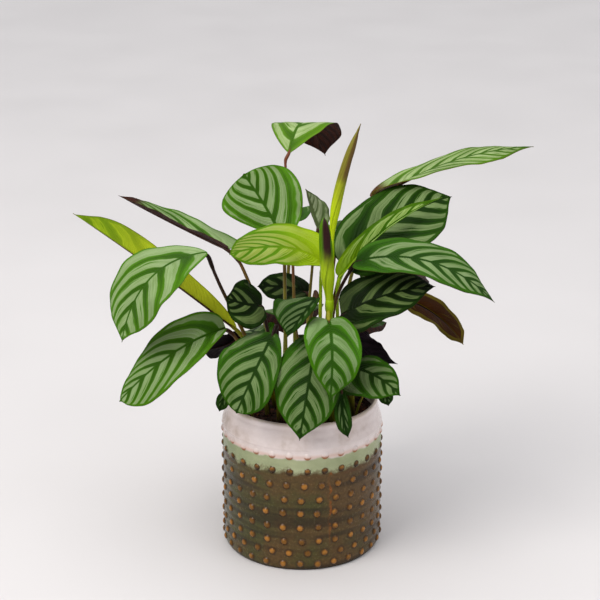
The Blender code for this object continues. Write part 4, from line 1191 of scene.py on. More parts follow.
# The smallest leaves, inside the crown and at the rim, and those at the back
SMALL_AND_BACK_LEAVES = (
    Leaf("leaf_22_rim_right", root=(28, -42), knee=(31, -68, 171), joint=(33, -72, 167), tip=(38, -88, 134),
         bow=(-2, -4, 2), width=14, face=(0.1, -0.95, 0.2), rise=(4, 4), curl=(-12, -12),
         shape=(0.42, 0.42), ripple=0.4, lobe=1, stalk=1.0,
         look=Look(Skin.SHADED_DEEP, bands=4, slant=(5.0, 5.0))),
    Leaf("leaf_24_left_dark", root=(-18, -10), knee=(-32, -8, 210), joint=(-34, -10, 221),
         tip=(-64, -26, 234), bow=(0, 0, -2), width=44, face=(-0.2, -0.7, 0.6), rise=(6, 6),
         curl=(-10, -10), shape=(0.42, 0.6),
         look=Look(Skin.SHADE, stem=Stem.DARK, bands=3.4)),
    Leaf("leaf_25_back_dark", root=(7, 42), knee=(8, 57, 200), joint=(5, 59, 208), tip=(-40, 69, 210),
         bow=(0, 1, 2), width=26, face=(-0.1, -0.8, 0.5), rise=(6, 6), curl=(-10, -10), shape=(0.42, 0.5),
         look=Look(Skin.SHADE, bands=3)),
    Leaf("leaf_26_left_under", root=(-38, 22), knee=(-47, 22, 175), joint=(-53, 21, 181),
         tip=(-86, 10, 172), bow=(0, 0, -2), width=34, face=(-0.2, 0.8, 0.6), rise=(6, 6), curl=(-10, -10),
         shape=(0.42, 0.35), lobe=0,
         look=Look(Skin.SHADED_NIGHT, Skin.PURPLE, Stem.DARK, bands=4)),
    Leaf("leaf_27_rim_left", root=(-42, -22), knee=(-60, -46, 162), joint=(-62, -50, 160),
         tip=(-69, -62, 146), bow=(0, -2, 2), width=12, face=(-0.3, -0.9, 0.2), rise=(4, 4),
         curl=(-12, -12), shape=(0.42, 0.42), ripple=0.3, lobe=1, stalk=0.9,
         look=Look(Skin.SHADED_DEEP, bands=3, slant=(3.0, 3.0))),
    Leaf("leaf_28_rim_right_nub", root=(46, -20), knee=(62, -28, 162), joint=(65, -32, 158),
         tip=(73, -46, 144), bow=(1, -2, 1), width=15, face=(0.4, -0.7, 0.5), rise=(4, 4), curl=(-12, -12),
         shape=(0.42, 0.5), ripple=0.3, lobe=1, stalk=0.9,
         look=Look(Skin.SHADED_DEEP, bands=3)),
    Leaf("leaf_29_back_left", root=(-16, 56), knee=(-10, 86, 256), joint=(-10, 93, 262),
         tip=(-28, 150, 234), bow=(0, 0, 14), width=54, face=(-0.2, 0.3, 0.9),
         look=Look(Skin.MATURE)),
    Leaf("leaf_30_back", root=(0, 46), knee=(-6, 60, 176), joint=(-8, 68, 182), tip=(-14, 138, 136),
         bow=(0, 6, 14), width=62, face=(-0.1, 0.5, 0.8),
         look=Look(Skin.MATURE)),
    Leaf("leaf_31_back_right", root=(38, 24), knee=(55, 35, 220), joint=(62, 38, 224), tip=(106, 86, 202),
         bow=(0, 0, 16), width=58, face=(0.3, 0.3, 0.9),
         look=Look(Skin.MATURE)),
    Leaf("leaf_32_back_low_left", root=(-30, 26), knee=(-33, 42, 162), joint=(-38, 48, 168),
         tip=(-62, 108, 136), bow=(0, 0, 12), width=48, face=(-0.3, 0.4, 0.8),
         look=Look(Skin.MATURE)),
    Leaf("leaf_33_back_low", root=(16, 48), knee=(17, 62, 150), joint=(18, 70, 154), tip=(18, 128, 120),
         bow=(0, 6, 12), width=48, face=(0.0, 0.5, 0.8),
         look=Look(Skin.MATURE)),
    Leaf("leaf_34_back_low_right", root=(42, 30), knee=(50, 40, 176), joint=(53, 46, 182),
         tip=(60, 110, 146), bow=(0, 4, 12), width=42, face=(0.3, 0.4, 0.8),
         look=Look(Skin.MATURE)),
    Leaf("leaf_35_back_high", root=(18, 38), knee=(30, 72, 246), joint=(32, 80, 252), tip=(70, 136, 236),
         bow=(0, 0, 12), width=48, face=(0.1, 0.3, 0.9),
         look=Look(Skin.MATURE)),
)


@dataclass(frozen=True)
class StonewareGlaze:
    """Glazed stoneware, thrown and dipped: white over celadon over a mottled brown-green glaze.

    The iron-rich knobs break through the glaze as rust, which is what the eye picks out first.

    Args:
        white: Colours of the collar's glaze where it is thick and thin.
        celadon: Colours of the band under it.
        body: The brown and the green of the wall.
        shadow: The darkest mottling, also laid as painted shade round and under the knobs.
        rust: Colours of the knobs' tops, bright and dull, and of their flanks.
        stain: Red-brown line under the celadon, and the seam.
        burnt: Celadon where it has browned at its lower edge.
        thin: White glaze gone thin on the neck, where its beige is also painted shade in the hollow, and on
            the lip.
        blush: The collar's lower edge, and the undersides of its knobs, where the body shows through the
            glaze and painted shade lies under them.
        foot: The unglazed edge that the pot stands on.
        celadon_low: Height of the celadon's lower edge.
        celadon_high: Height of its upper edge.
        second_row: Height of the second row of knobs from above.
        rows_apart: A height between that row and the first.
        neck: Height of the pinched neck.
        seam_angle: Place of the rusty seam, in degrees to the right of the front.
        ring_step: Distance between two throwing rings.
    """

    white: tuple[str, str] = ("#e6dbd9", "#cfc1bc")
    celadon: tuple[str, str] = ("#a6ac88", "#848f69")
    body: tuple[str, str] = ("#564124", "#444221")
    shadow: str = "#221a10"
    rust: tuple[str, str, str] = ("#9e6a2a", "#6c481a", "#44280e")
    stain: tuple[str, str] = ("#55301f", "#8f4c12")
    burnt: str = "#5b4a2c"
    thin: tuple[str, str] = ("#a48f79", "#b9aa90")
    blush: tuple[str, str] = ("#c9977c", "#9a5c35")
    foot: str = "#2a211a"

    celadon_low: float = 91.6
    celadon_high: float = 105.4
    second_row: float = 94.0
    rows_apart: float = 100.0
    neck: float = 119.0
    seam_angle: float = 20.0
    ring_step: float = 6.6

    def dress(self, name: str) -> bpy.types.Material:
        """Make the material, which reads heights from the object, and the knob map.

        Args:
            name: Its name.

        Returns:
            The material.
        """
        m = Recipe(name)
        spot = m.add("TexCoord", {}, output=3)
        at = m.add("SeparateXYZ", {0: spot})
        height = m.add("Math", {0: at.node.outputs[2], 1: PER_METRE}, operation="MULTIPLY")
        back = m.add("Math", {0: at.node.outputs[1], 1: -1.0}, operation="MULTIPLY")
        turn = m.add("Math", {0: at, 1: back}, operation="ARCTAN2")
        turn = m.add("Math", {0: turn, 1: math.degrees(1)}, operation="MULTIPLY")
        knobs = m.add("SeparateXYZ", {0: m.add("UVMap", {}, uv_map="knobs")})
        near = m.add("Math", {0: knobs, 1: UV_SPAN}, operation="MULTIPLY")
        above = m.add("Math", {0: knobs.node.outputs[1], 1: UV_SPAN}, operation="MULTIPLY")
        flat = m.add("VectorMath", {0: spot, 1: (1.0, 1.0, 0.3)}, operation="MULTIPLY")
        run = m.add("TexNoise", {"Vector": flat, "Scale": 105.0, "Detail": 2.0})
        cloud = m.add("TexNoise", {"Vector": spot, "Scale": 26.0, "Detail": 4.0, "Roughness": 0.6})
        speck = m.add("TexNoise", {"Vector": spot, "Scale": 420.0, "Detail": 3.0, "Roughness": 0.6})
        level = m.add("VectorMath", {0: spot, 1: (8.0, 8.0, 110.0)}, operation="MULTIPLY")
        level = m.add("TexNoise", {"Vector": level, "Scale": 1.0, "Detail": 2.0, "Roughness": 0.5})

        # The wall: brown on the right, greener on the left, in faint level bands.
        greener = m.add("MapRange", {0: turn, 1: -70.0, 2: 60.0, 3: 0.2, 4: -0.14})
        greener = m.add("Math", {0: cloud, 1: greener}, operation="ADD")
        greener = m.add("MapRange", {0: greener, 1: 0.38, 2: 0.72}, **SMOOTH)
        wall = m.add("Mix", {0: greener, 6: linear(self.body[0]), 7: linear(self.body[1])}, **BLEND)
        dark = m.add("MapRange", {0: level, 1: 0.46, 2: 0.64, 3: 0.0, 4: 0.62}, **SMOOTH)
        wall = m.add("Mix", {0: dark, 6: wall, 7: linear(self.shadow)}, **BLEND)
        mottle = m.add("MapRange", {0: speck, 1: 0.32, 2: 0.68, 3: 0.78, 4: 1.2})
        wall = m.add("VectorMath", {0: wall, 3: mottle}, operation="SCALE")

        # A red-brown line where the celadon has run, and one rusty seam down the front.
        under = m.add("Math", {0: height, 1: self.celadon_low - 3.6}, operation="SUBTRACT")
        under = m.add("Math", {0: under}, operation="ABSOLUTE")
        under = m.add("MapRange", {0: under, 1: 2.4, 2: 0.4, 3: 0.0, 4: 1.0}, **SMOOTH)
        patchy = m.add("MapRange", {0: cloud, 1: 0.45, 2: 0.6, 3: 0.0, 4: 0.65})
        under = m.add("Math", {0: under, 1: patchy}, operation="MULTIPLY")
        wall = m.add("Mix", {0: under, 6: wall, 7: linear(self.stain[0])}, **BLEND)
        crack = m.add("TexNoise", {"Vector": spot, "Scale": 130.0, "Detail": 2.0})
        seam = m.add("Math", {0: crack, 1: 7.0, 2: -3.5 - self.seam_angle}, operation="MULTIPLY_ADD")
        seam = m.add("Math", {0: seam, 1: turn}, operation="ADD")
        seam = m.add("Math", {0: seam}, operation="ABSOLUTE")
        seam = m.add("MapRange", {0: seam, 1: 1.2, 2: 0.1, 3: 0.0, 4: 0.62}, **SMOOTH)
        span = m.add("MapRange", {0: height, 1: 20.0, 2: 34.0}, **SMOOTH)
        seam = m.add("Math", {0: seam, 1: span}, operation="MULTIPLY")
        seam = m.add("Math", {0: seam, 1: m.add("MapRange", {0: crack, 1: 0.42, 2: 0.56, 3: 1.0, 4: 0.15})},
                     operation="MULTIPLY")

        # A dark ring round each knob, of thin dark glaze and of painted shade in the crease at its foot, then
        # rust, where the glaze breaks over each knob.
        halo_and_shade = m.add("MapRange", {0: near, 1: 5.0, 2: 3.3, 3: 0.0, 4: 0.4}, **SMOOTH)
        wall = m.add("Mix", {0: halo_and_shade, 6: wall, 7: linear(self.shadow)}, **BLEND)
        wall = m.add("Mix", {0: seam, 6: wall, 7: linear(self.stain[1])}, **BLEND)
        ragged = m.add("Math", {0: speck, 1: 1.4, 2: near}, operation="MULTIPLY_ADD")
        top = m.add("MapRange", {0: ragged, 1: 3.9, 2: 2.3}, **SMOOTH)
        flank = m.add("MapRange", {0: ragged, 1: 4.6, 2: 3.6, 3: 0.0, 4: 0.62}, **SMOOTH)
        wall = m.add("Mix", {0: flank, 6: wall, 7: linear(self.rust[2])}, **BLEND)
        patch = m.add("TexNoise", {"Vector": spot, "Scale": 75.0, "Detail": 1.0})
        patch = m.add("MapRange", {0: patch, 1: 0.38, 2: 0.62}, **SMOOTH)
        rust = m.add("Mix", {0: patch, 6: linear(self.rust[1]), 7: linear(self.rust[0])}, **BLEND)
        wall = m.add("Mix", {0: top, 6: wall, 7: rust}, **BLEND)

        # Celadon runs down between the knobs of the second row.
        drip = m.add("MapRange", {0: run, 1: 0.3, 2: 0.7, 3: -2.6, 4: 2.6})
        drip = m.add("Math", {0: height, 1: drip}, operation="ADD")
        green = m.add("MapRange", {0: drip, 1: self.celadon_low - 1.5, 2: self.celadon_low + 0.9}, **SMOOTH)
        clear = m.add("MapRange", {0: ragged, 1: 3.3, 2: 4.2}, **SMOOTH)
        low = m.add("MapRange", {0: height, 1: self.rows_apart - 1.0, 2: self.rows_apart + 1.0})
        clear = m.add("Math", {0: clear, 1: low}, operation="MAXIMUM")
        green = m.add("Math", {0: green, 1: clear}, operation="MULTIPLY")
        thin = m.add("MapRange", {0: cloud, 1: 0.35, 2: 0.65})
        celadon = m.add("Mix", {0: thin, 6: linear(self.celadon[0]), 7: linear(self.celadon[1])}, **BLEND)
        burnt = m.add("Math", {0: speck, 1: 14.0, 2: drip}, operation="MULTIPLY_ADD")
        start, end = self.celadon_low + 11.5, self.celadon_low + 6.5
        burnt = m.add("MapRange", {0: burnt, 1: start, 2: end, 3: 0.0, 4: 0.7}, **SMOOTH)
        celadon = m.add("Mix", {0: burnt, 6: celadon, 7: linear(self.burnt)}, **BLEND)
        colour = m.add("Mix", {0: green, 6: wall, 7: celadon}, **BLEND)
        # The second row's knobs, where the celadon leaves them clear, are darkened a little all over and most
        # on their lower halves, where it is painted shade.
        second = m.add("Math", {0: height, 1: self.second_row}, operation="SUBTRACT")
        second = m.add("Math", {0: second}, operation="ABSOLUTE")
        second = m.add("MapRange", {0: second, 1: 6.0, 2: 4.0})
        covered = m.add("Math", {0: 1.0, 1: clear}, operation="SUBTRACT")
        second = m.add("Math", {0: second, 1: covered}, operation="MULTIPLY")
        below = m.add("MapRange", {0: above, 1: 1.6, 2: -0.8, 3: 0.25, 4: 0.85})
        second = m.add("Math", {0: second, 1: below}, operation="MULTIPLY")
        colour = m.add("Mix", {0: second, 6: colour, 7: linear(self.shadow)}, **BLEND)

        # The white collar, thin and warm on ridges, with rust below each of its own knobs that is also
        # painted shade under them.
        white = m.add("Math", {0: drip, 1: 0.45}, operation="MULTIPLY")
        white = m.add("Math", {0: height, 1: 0.55, 2: white}, operation="MULTIPLY_ADD")
        white = m.add("MapRange", {0: white, 1: self.celadon_high - 1.3, 2: self.celadon_high + 1.0},
                      **SMOOTH)
        collar = m.add("Mix", {0: thin, 6: linear(self.white[0]), 7: linear(self.white[1])}, **BLEND)
        # Where the glaze has run off the pinched neck it is thin, and the beige body shows; that beige is
        # also painted shade in the neck's hollow.
        neck = m.add("Math", {0: height, 1: self.neck}, operation="SUBTRACT")
        neck = m.add("Math", {0: neck}, operation="ABSOLUTE")
        neck = m.add("MapRange", {0: neck, 1: 9.0, 2: 1.0}, **SMOOTH)
        neck = m.add("Math", {0: neck, 1: m.add("MapRange", {0: cloud, 1: 0.48, 2: 0.62, 3: 0.0, 4: 0.5})},
                     operation="MULTIPLY")
        collar = m.add("Mix", {0: neck, 6: collar, 7: linear(self.thin[0])}, **BLEND)
        lip = m.add("Math", {0: cloud, 1: 5.0, 2: height}, operation="MULTIPLY_ADD")
        lip = m.add("MapRange", {0: lip, 1: 134.4, 2: 136.6, 3: 0.0, 4: 0.55}, **SMOOTH)
        collar = m.add("Mix", {0: lip, 6: collar, 7: linear(self.thin[1])}, **BLEND)
        warm = m.add("Math", {0: height, 1: self.celadon_high + 1.2}, operation="SUBTRACT")
        warm = m.add("Math", {0: warm}, operation="ABSOLUTE")
        warm = m.add("MapRange", {0: warm, 1: 3.2, 2: 0.0, 3: 0.0, 4: 0.4}, **SMOOTH)
        collar = m.add("Mix", {0: warm, 6: collar, 7: linear(self.blush[0])}, **BLEND)
        colour = m.add("Mix", {0: white, 6: colour, 7: collar}, **BLEND)
        # Under each of the collar's knobs: rust where the glaze slid off, and painted shade.
        bare_and_shade = m.add("MapRange", {0: above, 1: 0.4, 2: -1.6, 3: 0.0, 4: 0.9}, **SMOOTH)
        ring = m.add("MapRange", {0: near, 1: 3.9, 2: 2.6}, **SMOOTH)
        bare_and_shade = m.add("Math", {0: bare_and_shade, 1: ring}, operation="MULTIPLY")
        bare_and_shade = m.add("Math", {0: bare_and_shade, 1: low}, operation="MULTIPLY")
        colour = m.add("Mix", {0: bare_and_shade, 6: colour, 7: linear(self.blush[1])}, **BLEND)
        foot = m.add("MapRange", {0: height, 1: 2.2, 2: 0.6}, **SMOOTH)
        colour = m.add("Mix", {0: foot, 6: colour, 7: linear(self.foot)}, **BLEND)

        shine = m.add("MapRange", {0: speck, 1: 0.3, 2: 0.7, 3: 0.16, 4: 0.3})
        pits = m.add("Math", {0: speck, 1: 0.12, 2: run}, operation="MULTIPLY_ADD")
        pits = m.add("Math", {0: level, 1: 1.2, 2: pits}, operation="MULTIPLY_ADD")
        wheel = m.add("Math", {0: height, 1: FULL_TURN / self.ring_step, 2: run}, operation="MULTIPLY_ADD")
        wheel = m.add("Math", {0: wheel}, operation="SINE")
        pits = m.add("Math", {0: wheel, 1: 0.3, 2: pits}, operation="MULTIPLY_ADD")
        bump = m.add("Bump", {"Height": pits, "Strength": 0.4, "Distance": 0.0009})
        return m.finish({"Base Color": colour, "Roughness": shine, "Normal": bump, "IOR": 1.5,
                         "Specular IOR Level": 0.21})


@dataclass(frozen=True)
class HobnailPot:
    """The pot: foot, knobbed wall, pinched collar with a rolled lip, and the inside.

    Args:
        glaze: Finish of the whole pot.
        radius: Radius of the wall.
        foot_radius: Radius of the foot.
        heel: Height at which the foot's curve meets the wall.
        shoulder: Height at which the wall ends and the collar starts.
        collar: Section of the collar and the lip, as radius and height.
        inside: Section of the inside, from the lip down.
        floor: Height of the floor inside.
        wall_step: Height between level rings of the wall.
        fine_columns: Corners of each level ring.
        columns: Knobs in each row.
        first_column: Angle just before the first knob of a row, in degrees.
        row_heights: Height of each row.
        row_turns: How far each row is turned from the even spacing, in degrees.
        jitter: How far a knob strays from its even place, in degrees and in millimetres.
        knob_top: How far the top of a knob stands out from the wall.
        knob_profile: Section of a knob, as reach from its middle and height over the wall.
        knob_sides: Corners of each ring of a knob.
        knob_depth: How far a knob's shell reaches into the wall.
        size_spread: Smallest and largest knob, against the usual one.
        far_away: Distance from the knobs that the map gives inside the pot.
        corner_rounds: How often the corners of the collar's and the inside's section are cut.
        shrink: How far the wall lies inside its radius.
        unevenness: Height of the waves that the maker's hand left in it.
        crease: Angle above which an edge stays sharp.
        seed: Start of its random numbers.
    """

    glaze: StonewareGlaze = StonewareGlaze()
    radius: float = 69.5
    foot_radius: float = 66.5
    heel: float = 3.2
    shoulder: float = 112.6
    collar: tuple[Pair, ...] = ((70.1, 113.6), (69.2, 117.0), (67.2, 122.6), (65.9, 129.0),
                                (66.3, 132.6), (65.4, 135.0), (63.5, 135.0), (62.6, 132.6))
    inside: tuple[Pair, ...] = ((62.6, 124.0), (65.4, 110.0), (65.4, 12.0), (62.6, 7.0))
    floor: float = 5.5
    wall_step: float = 1.9
    fine_columns: int = 232
    columns: int = 29
    first_column: float = -95.0
    row_heights: tuple[float, ...] = (6.2, 16.4, 27.6, 40.6, 54.0, 66.6, 80.0, 93.4, 107.4)
    row_turns: tuple[float, ...] = (-2.6, 2.4, -1.6, -2.2, -2.6, -1.6, 0.6, 2.6, 2.4)
    jitter: float = 0.45
    knob_top: float = 1.45
    knob_profile: tuple[Pair, ...] = ((3.9, -0.35), (3.4, 0.02), (2.9, 0.35), (2.4, 0.88), (1.7, 1.28),
                                      (0.9, 1.54))
    knob_sides: int = 14
    knob_depth: float = 1.5
    size_spread: Pair = (0.93, 1.06)
    far_away: float = 9.0
    corner_rounds: int = 3
    shrink: float = 0.2
    unevenness: float = 0.11
    crease: float = 50.0
    seed: int = 7

    def outline(self) -> np.ndarray:
        """Return the section from the edge of the foot over the lip to the floor inside.

        Returns:
            Points as radius and height. From the shoulder on, the corners are cut round.
        """
        heights = np.arange(self.heel + 1.2, self.shoulder - 1, self.wall_step)
        wall = [(self.radius, height) for height in heights]
        heel = [(self.foot_radius, 0.0), (self.foot_radius + 1.8, 0.5), (self.radius - 0.3, self.heel - 0.6)]
        above = [(self.radius, self.shoulder), *self.collar, *self.inside,
                 (self.inside[-1][0] - self.heel, self.floor)]
        points = np.array(heel + wall + above)
        start = len(heel) + len(wall) - 2
        head, tail = points[:start], points[start:]
        for _ in range(self.corner_rounds):
            first = 0.75 * tail[:-1] + 0.25 * tail[1:]
            second = 0.25 * tail[:-1] + 0.75 * tail[1:]
            tail = np.vstack((tail[:1], np.stack((first, second), axis=1).reshape(-1, 2), tail[-1:]))
        return np.vstack((head, tail))

    def wobble(self, angle: np.ndarray, height: np.ndarray) -> np.ndarray:
        """Return how far the hand-made wall lies out from its true round, below 0 for inside."""
        waves = np.sin(3 * angle + 0.03 * height) + 0.7 * np.sin(5 * angle + 1.3 - 0.05 * height)
        return self.unevenness * waves - self.shrink

    def knob_places(self) -> tuple[np.ndarray, np.ndarray]:
        """Return where the knobs' middles are, as in the solid.

        Returns:
            The angle and the height of each.
        """
        rng = np.random.default_rng(self.seed)
        pitch = FULL_TURN / self.columns
        angles = []
        heights = []
        for row_turn, height in zip(self.row_turns, self.row_heights):
            for column in range(self.columns):
                shift = math.radians(row_turn + rng.uniform(-self.jitter, self.jitter))
                middle = math.radians(self.first_column) + (2 * column + 1) * pitch / 2
                angles.append(middle + shift)
                heights.append(height + rng.uniform(-self.jitter, self.jitter))
        return np.array(angles), np.array(heights)

    def add_wall(self, patch: Patch, middles: tuple[np.ndarray, np.ndarray]) -> None:
        """Add the turned shell, with the knob map that says how near each knob is.

        Args:
            patch: The pot's piece.
            middles: Angles and heights of the knobs.
        """
        outline = self.outline()
        angle = np.arange(self.fine_columns) * FULL_TURN / self.fine_columns
        radius = outline[:, :1] + self.wobble(angle[None, :], outline[:, 1:])
        height = np.broadcast_to(outline[:, 1:], radius.shape)
        rings = np.stack((radius * np.cos(angle), radius * np.sin(angle), height), axis=-1)
        apart = (angle[:, None] - middles[0][None, :] + math.pi) % FULL_TURN - math.pi
        near = np.empty(radius.shape)
        above = np.empty(radius.shape)
        outside = np.arange(len(outline)) < int(np.argmax(outline[:, 1])) + 1
        for row, (_, level) in enumerate(outline):
            far = np.hypot(apart * self.radius, level - middles[1][None, :])
            closest = np.argmin(far, axis=1)
            near[row] = far[np.arange(len(angle)), closest] if outside[row] else self.far_away
            above[row] = level - middles[1][closest]
        knobs = np.stack((near, above), axis=-1) / UV_SPAN
        knobs = np.concatenate((knobs, knobs[:, :1]), axis=1)
        ends = (np.array((0.0, 0.0, 0.0)), np.array((0.0, 0.0, self.floor)))
        add_tube(patch, rings, ends, 0, {"knobs": knobs})

    def add_knobs(self, patch: Patch, middles: tuple[np.ndarray, np.ndarray]) -> None:
        """Add the knobs: each a small dome that flares into the wall.

        Args:
            patch: The pot's piece.
            middles: Angles and heights of the knobs.
        """
        rng = np.random.default_rng(self.seed + 1)
        around = np.arange(self.knob_sides + 1) * FULL_TURN / self.knob_sides
        for angle, height in zip(*middles):
            size = rng.uniform(*self.size_spread)
            rings = []
            near = []
            for reach, lift in self.knob_profile:
                turn = angle + reach * size * np.cos(around[:-1]) / self.radius
                up = height + reach * size * np.sin(around[:-1])
                radius = self.radius + lift + self.wobble(turn, up)
                rings.append(np.stack((radius * np.cos(turn), radius * np.sin(turn), up), axis=-1))
                near.append(np.stack((np.full(len(around), reach), reach * np.sin(around)), axis=-1))
            ends = tuple(np.array((reach * math.cos(angle), reach * math.sin(angle), height))
                         for reach in (self.radius - self.knob_depth, self.radius + self.knob_top))
            add_tube(patch, np.array(rings), ends, 0, {"knobs": np.array(near) / UV_SPAN})

    def build(self, finish: "Finishes") -> bpy.types.Object:
        """Build and dress the pot, and let it stand for its solid.

        Args:
            finish: Where the materials come from.

        Returns:
            The piece.
        """
        patch = Patch(("knobs",))
        middles = self.knob_places()
        self.add_wall(patch, middles)
        self.add_knobs(patch, middles)
        pot = patch.piece("pot_glazed", [finish.of(self.glaze)], self.crease)
        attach(pot, "root")
        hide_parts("pot")
        return pot


@dataclass(frozen=True)
class PeatMix:
    """Potting soil: damp peat with bark crumbs, which looks nearly black with red-brown bits.

    Args:
        dark: Colour of the hollows.
        brown: Colour of the lumps.
        red: Colour of the bits of bark.
    """

    dark: str = "#140a06"
    brown: str = "#382014"
    red: str = "#693720"

    def dress(self, name: str) -> bpy.types.Material:
        """Make the material.

        Args:
            name: Its name.

        Returns:
            The material.
        """
        m = Recipe(name)
        spot = m.add("TexCoord", {}, output=3)
        lump = m.add("TexNoise", {"Vector": spot, "Scale": 130.0, "Detail": 4.0, "Roughness": 0.65})
        crumb = m.add("TexVoronoi", {"Vector": spot, "Scale": 420.0}, output=1)
        bit = m.add("SeparateColor", {0: crumb})
        share = m.add("MapRange", {0: lump, 1: 0.38, 2: 0.66}, **SMOOTH)
        colour = m.add("Mix", {0: share, 6: linear(self.dark), 7: linear(self.brown)}, **BLEND)
        rare = m.add("MapRange", {0: bit, 1: 0.72, 2: 0.95, 3: 0.0, 4: 0.7})
        colour = m.add("Mix", {0: rare, 6: colour, 7: linear(self.red)}, **BLEND)
        grit = m.add("TexNoise", {"Vector": spot, "Scale": 900.0, "Detail": 3.0})
        rough = m.add("MapRange", {0: grit, 1: 0.3, 2: 0.7, 3: 0.7, 4: 0.95})
        swell = m.add("Math", {0: lump, 1: 1.5, 2: grit}, operation="MULTIPLY_ADD")
        bump = m.add("Bump", {"Height": swell, "Strength": 0.8, "Distance": 0.0012})
        return m.finish({"Base Color": colour, "Roughness": rough, "Normal": bump, "Specular IOR Level": 0.2})


@dataclass(frozen=True)
class SoilBed:
    """The soil: an uneven top with crumbs of bark and peat fibres on it.

    Args:
        mix: Finish of the soil.
        radius: Radius of its top.
        depth: How far its side reaches down.
        sides: Corners of each level ring of its top.
        rows: Rings of its top.
        sunk: How far its mean height lies below the solid's top.
        swell: Height of its wide waves.
        lumps: Height of its small ones.
        crumbs: Number of crumbs.
        crumb_size: Least and greatest radius of a crumb.
        fibres: Number of fibres.
        fibre_size: Least and greatest radius of a fibre.
        fibre_reach: Least and greatest half length of a fibre.
        crease: Angle above which an edge stays sharp.
        seed: Start of its random numbers.
    """

    mix: PeatMix = PeatMix()
    radius: float = 62.6
    depth: float = 8.0
    sides: int = 110
    rows: int = 44
    sunk: float = 0.4
    swell: float = 0.5
    lumps: float = 0.35
    crumbs: int = 460
    crumb_size: Pair = (0.5, 1.7)
    fibres: int = 46
    fibre_size: Pair = (0.25, 0.4)
    fibre_reach: Pair = (4, 9)
    crease: float = 60.0
    seed: int = 23

    def level(self, x: np.ndarray, y: np.ndarray) -> np.ndarray:
        """Return the height of the soil at places in plan.

        Args:
            x: Places to the right.
            y: Places to the back.

        Returns:
            Heights.
        """
        swell = np.sin(x * 0.11 + 1.0) * np.cos(y * 0.13 + 0.4) + 0.6 * np.sin(x * 0.31 - y * 0.27)
        lumps = 0.5 * np.sin(x * 0.83 + 2.0 * np.sin(y * 0.5)) * np.sin(y * 0.91 + 0.7)
        return SOIL_TOP - self.sunk + self.swell * swell + self.lumps * lumps

    def add_top(self, patch: Patch) -> None:
        """Add the uneven top, closed below.

        Args:
            patch: The soil's piece.
        """
        angle = np.arange(self.sides) * FULL_TURN / self.sides
        reach = self.radius * np.linspace(1, 0.02, self.rows)[:, None]
        x = reach * np.cos(angle)
        y = reach * np.sin(angle)
        top = np.stack((x, y, self.level(x, y)), axis=-1)
        skirt = top[:1].copy()
        low = SOIL_TOP - self.depth
        skirt[..., 2] = low
        ends = (np.array((0.0, 0.0, low)), np.array((0.0, 0.0, float(self.level(0.0, 0.0)))))
        add_tube(patch, np.concatenate((skirt, top)), ends, 0, {})

    def add_crumbs(self, patch: Patch) -> None:
        """Scatter lumps and fibres, each partly sunk.

        Args:
            patch: The soil's piece.
        """
        rng = np.random.default_rng(self.seed)
        for number in range(self.crumbs + self.fibres):
            fibre = number >= self.crumbs
            reach = (self.radius - 3) * math.sqrt(rng.uniform(0, 1))
            turn = rng.uniform(0, FULL_TURN)
            x, y = reach * math.cos(turn), reach * math.sin(turn)
            size = rng.uniform(*(self.fibre_size if fibre else self.crumb_size))
            span = rng.uniform(*self.fibre_reach) if fibre else size * rng.uniform(0.7, 1.3)
            count = 7 if fibre else 5
            along = unit((rng.normal(), rng.normal(), rng.normal() * (0.1 if fibre else 0.4)))
            step = np.linspace(-span, span, count)
            path = np.array((x, y, 0.0)) + step[:, None] * along
            path[:, :2] += rng.normal(0, 0.35 if fibre else 0.12, (count, 2))
            path[:, 2] += float(self.level(x, y)) + size * rng.uniform(0.1, 0.6)
            round_off = np.sqrt(1 - (step / span * 0.92) ** 2)
            rings = tube_rings(path, size * round_off * rng.uniform(0.8, 1.2, count), 6)
            if not fibre:
                rings = rings + rng.normal(0, 0.16 * size, rings.shape)
            add_tube(patch, rings, (path[0] - along * 0.1, path[-1] + along * 0.1), 0, {})

    def build(self, finish: "Finishes") -> bpy.types.Object:
        """Build and dress the soil, and let it stand for its solid.

        Args:
            finish: Where the materials come from.

        Returns:
            The piece.
        """
        patch = Patch(())
        self.add_top(patch)
        self.add_crumbs(patch)
        soil = patch.piece("soil_peat", [finish.of(self.mix)], self.crease)
        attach(soil, "root")
        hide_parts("soil")
        return soil


class Finishes:
    """The materials made so far, one for each finish."""

    def __init__(self) -> None:
        """Start with none."""
        self.made: dict[object, bpy.types.Material] = {}

    def of(self, finish: object) -> bpy.types.Material:
        """Return the material of a finish, made the first time that it is asked for.

        Args:
            finish: The finish, or its name in an Enum.

        Returns:
            Its material.
        """
        if finish not in self.made:
            recipe = finish.value if isinstance(finish, Enum) else finish
            kind = type(recipe).__name__
            name = f"{kind}_{finish.name.lower()}" if isinstance(finish, Enum) else kind
            self.made[finish] = recipe.dress(name)
        return self.made[finish]


@dataclass(frozen=True)
class SoftLight:
    """One large soft lamp.

    Args:
        name: Name of the lamp.
        place: Where it stands, in metres.
        size: Its width and height, in metres.
        power: Its power in watts.
        tint: Its colour.
        target: What it is turned towards, in metres.
    """

    name: str
    place: Point
    size: Pair
    power: float
    tint: str = "#ffffff"
    target: Point = (0.0, 0.0, 0.2)

    def build(self) -> bpy.types.Object:
        """Add the lamp, turned towards its target.

        Returns:
            The lamp.
        """
        data = bpy.data.lights.new(self.name, "AREA")
        data.shape = "RECTANGLE"
        data.size, data.size_y = self.size
        data.energy = self.power
        data.color = linear(self.tint)[:3]
        lamp = bpy.data.objects.new(self.name, data)
        lamp.location = self.place
        aim = Vector(self.target) - Vector(self.place)
        lamp.rotation_euler = aim.to_track_quat("-Z", "Y").to_euler()
        bpy.context.collection.objects.link(lamp)
        return lamp


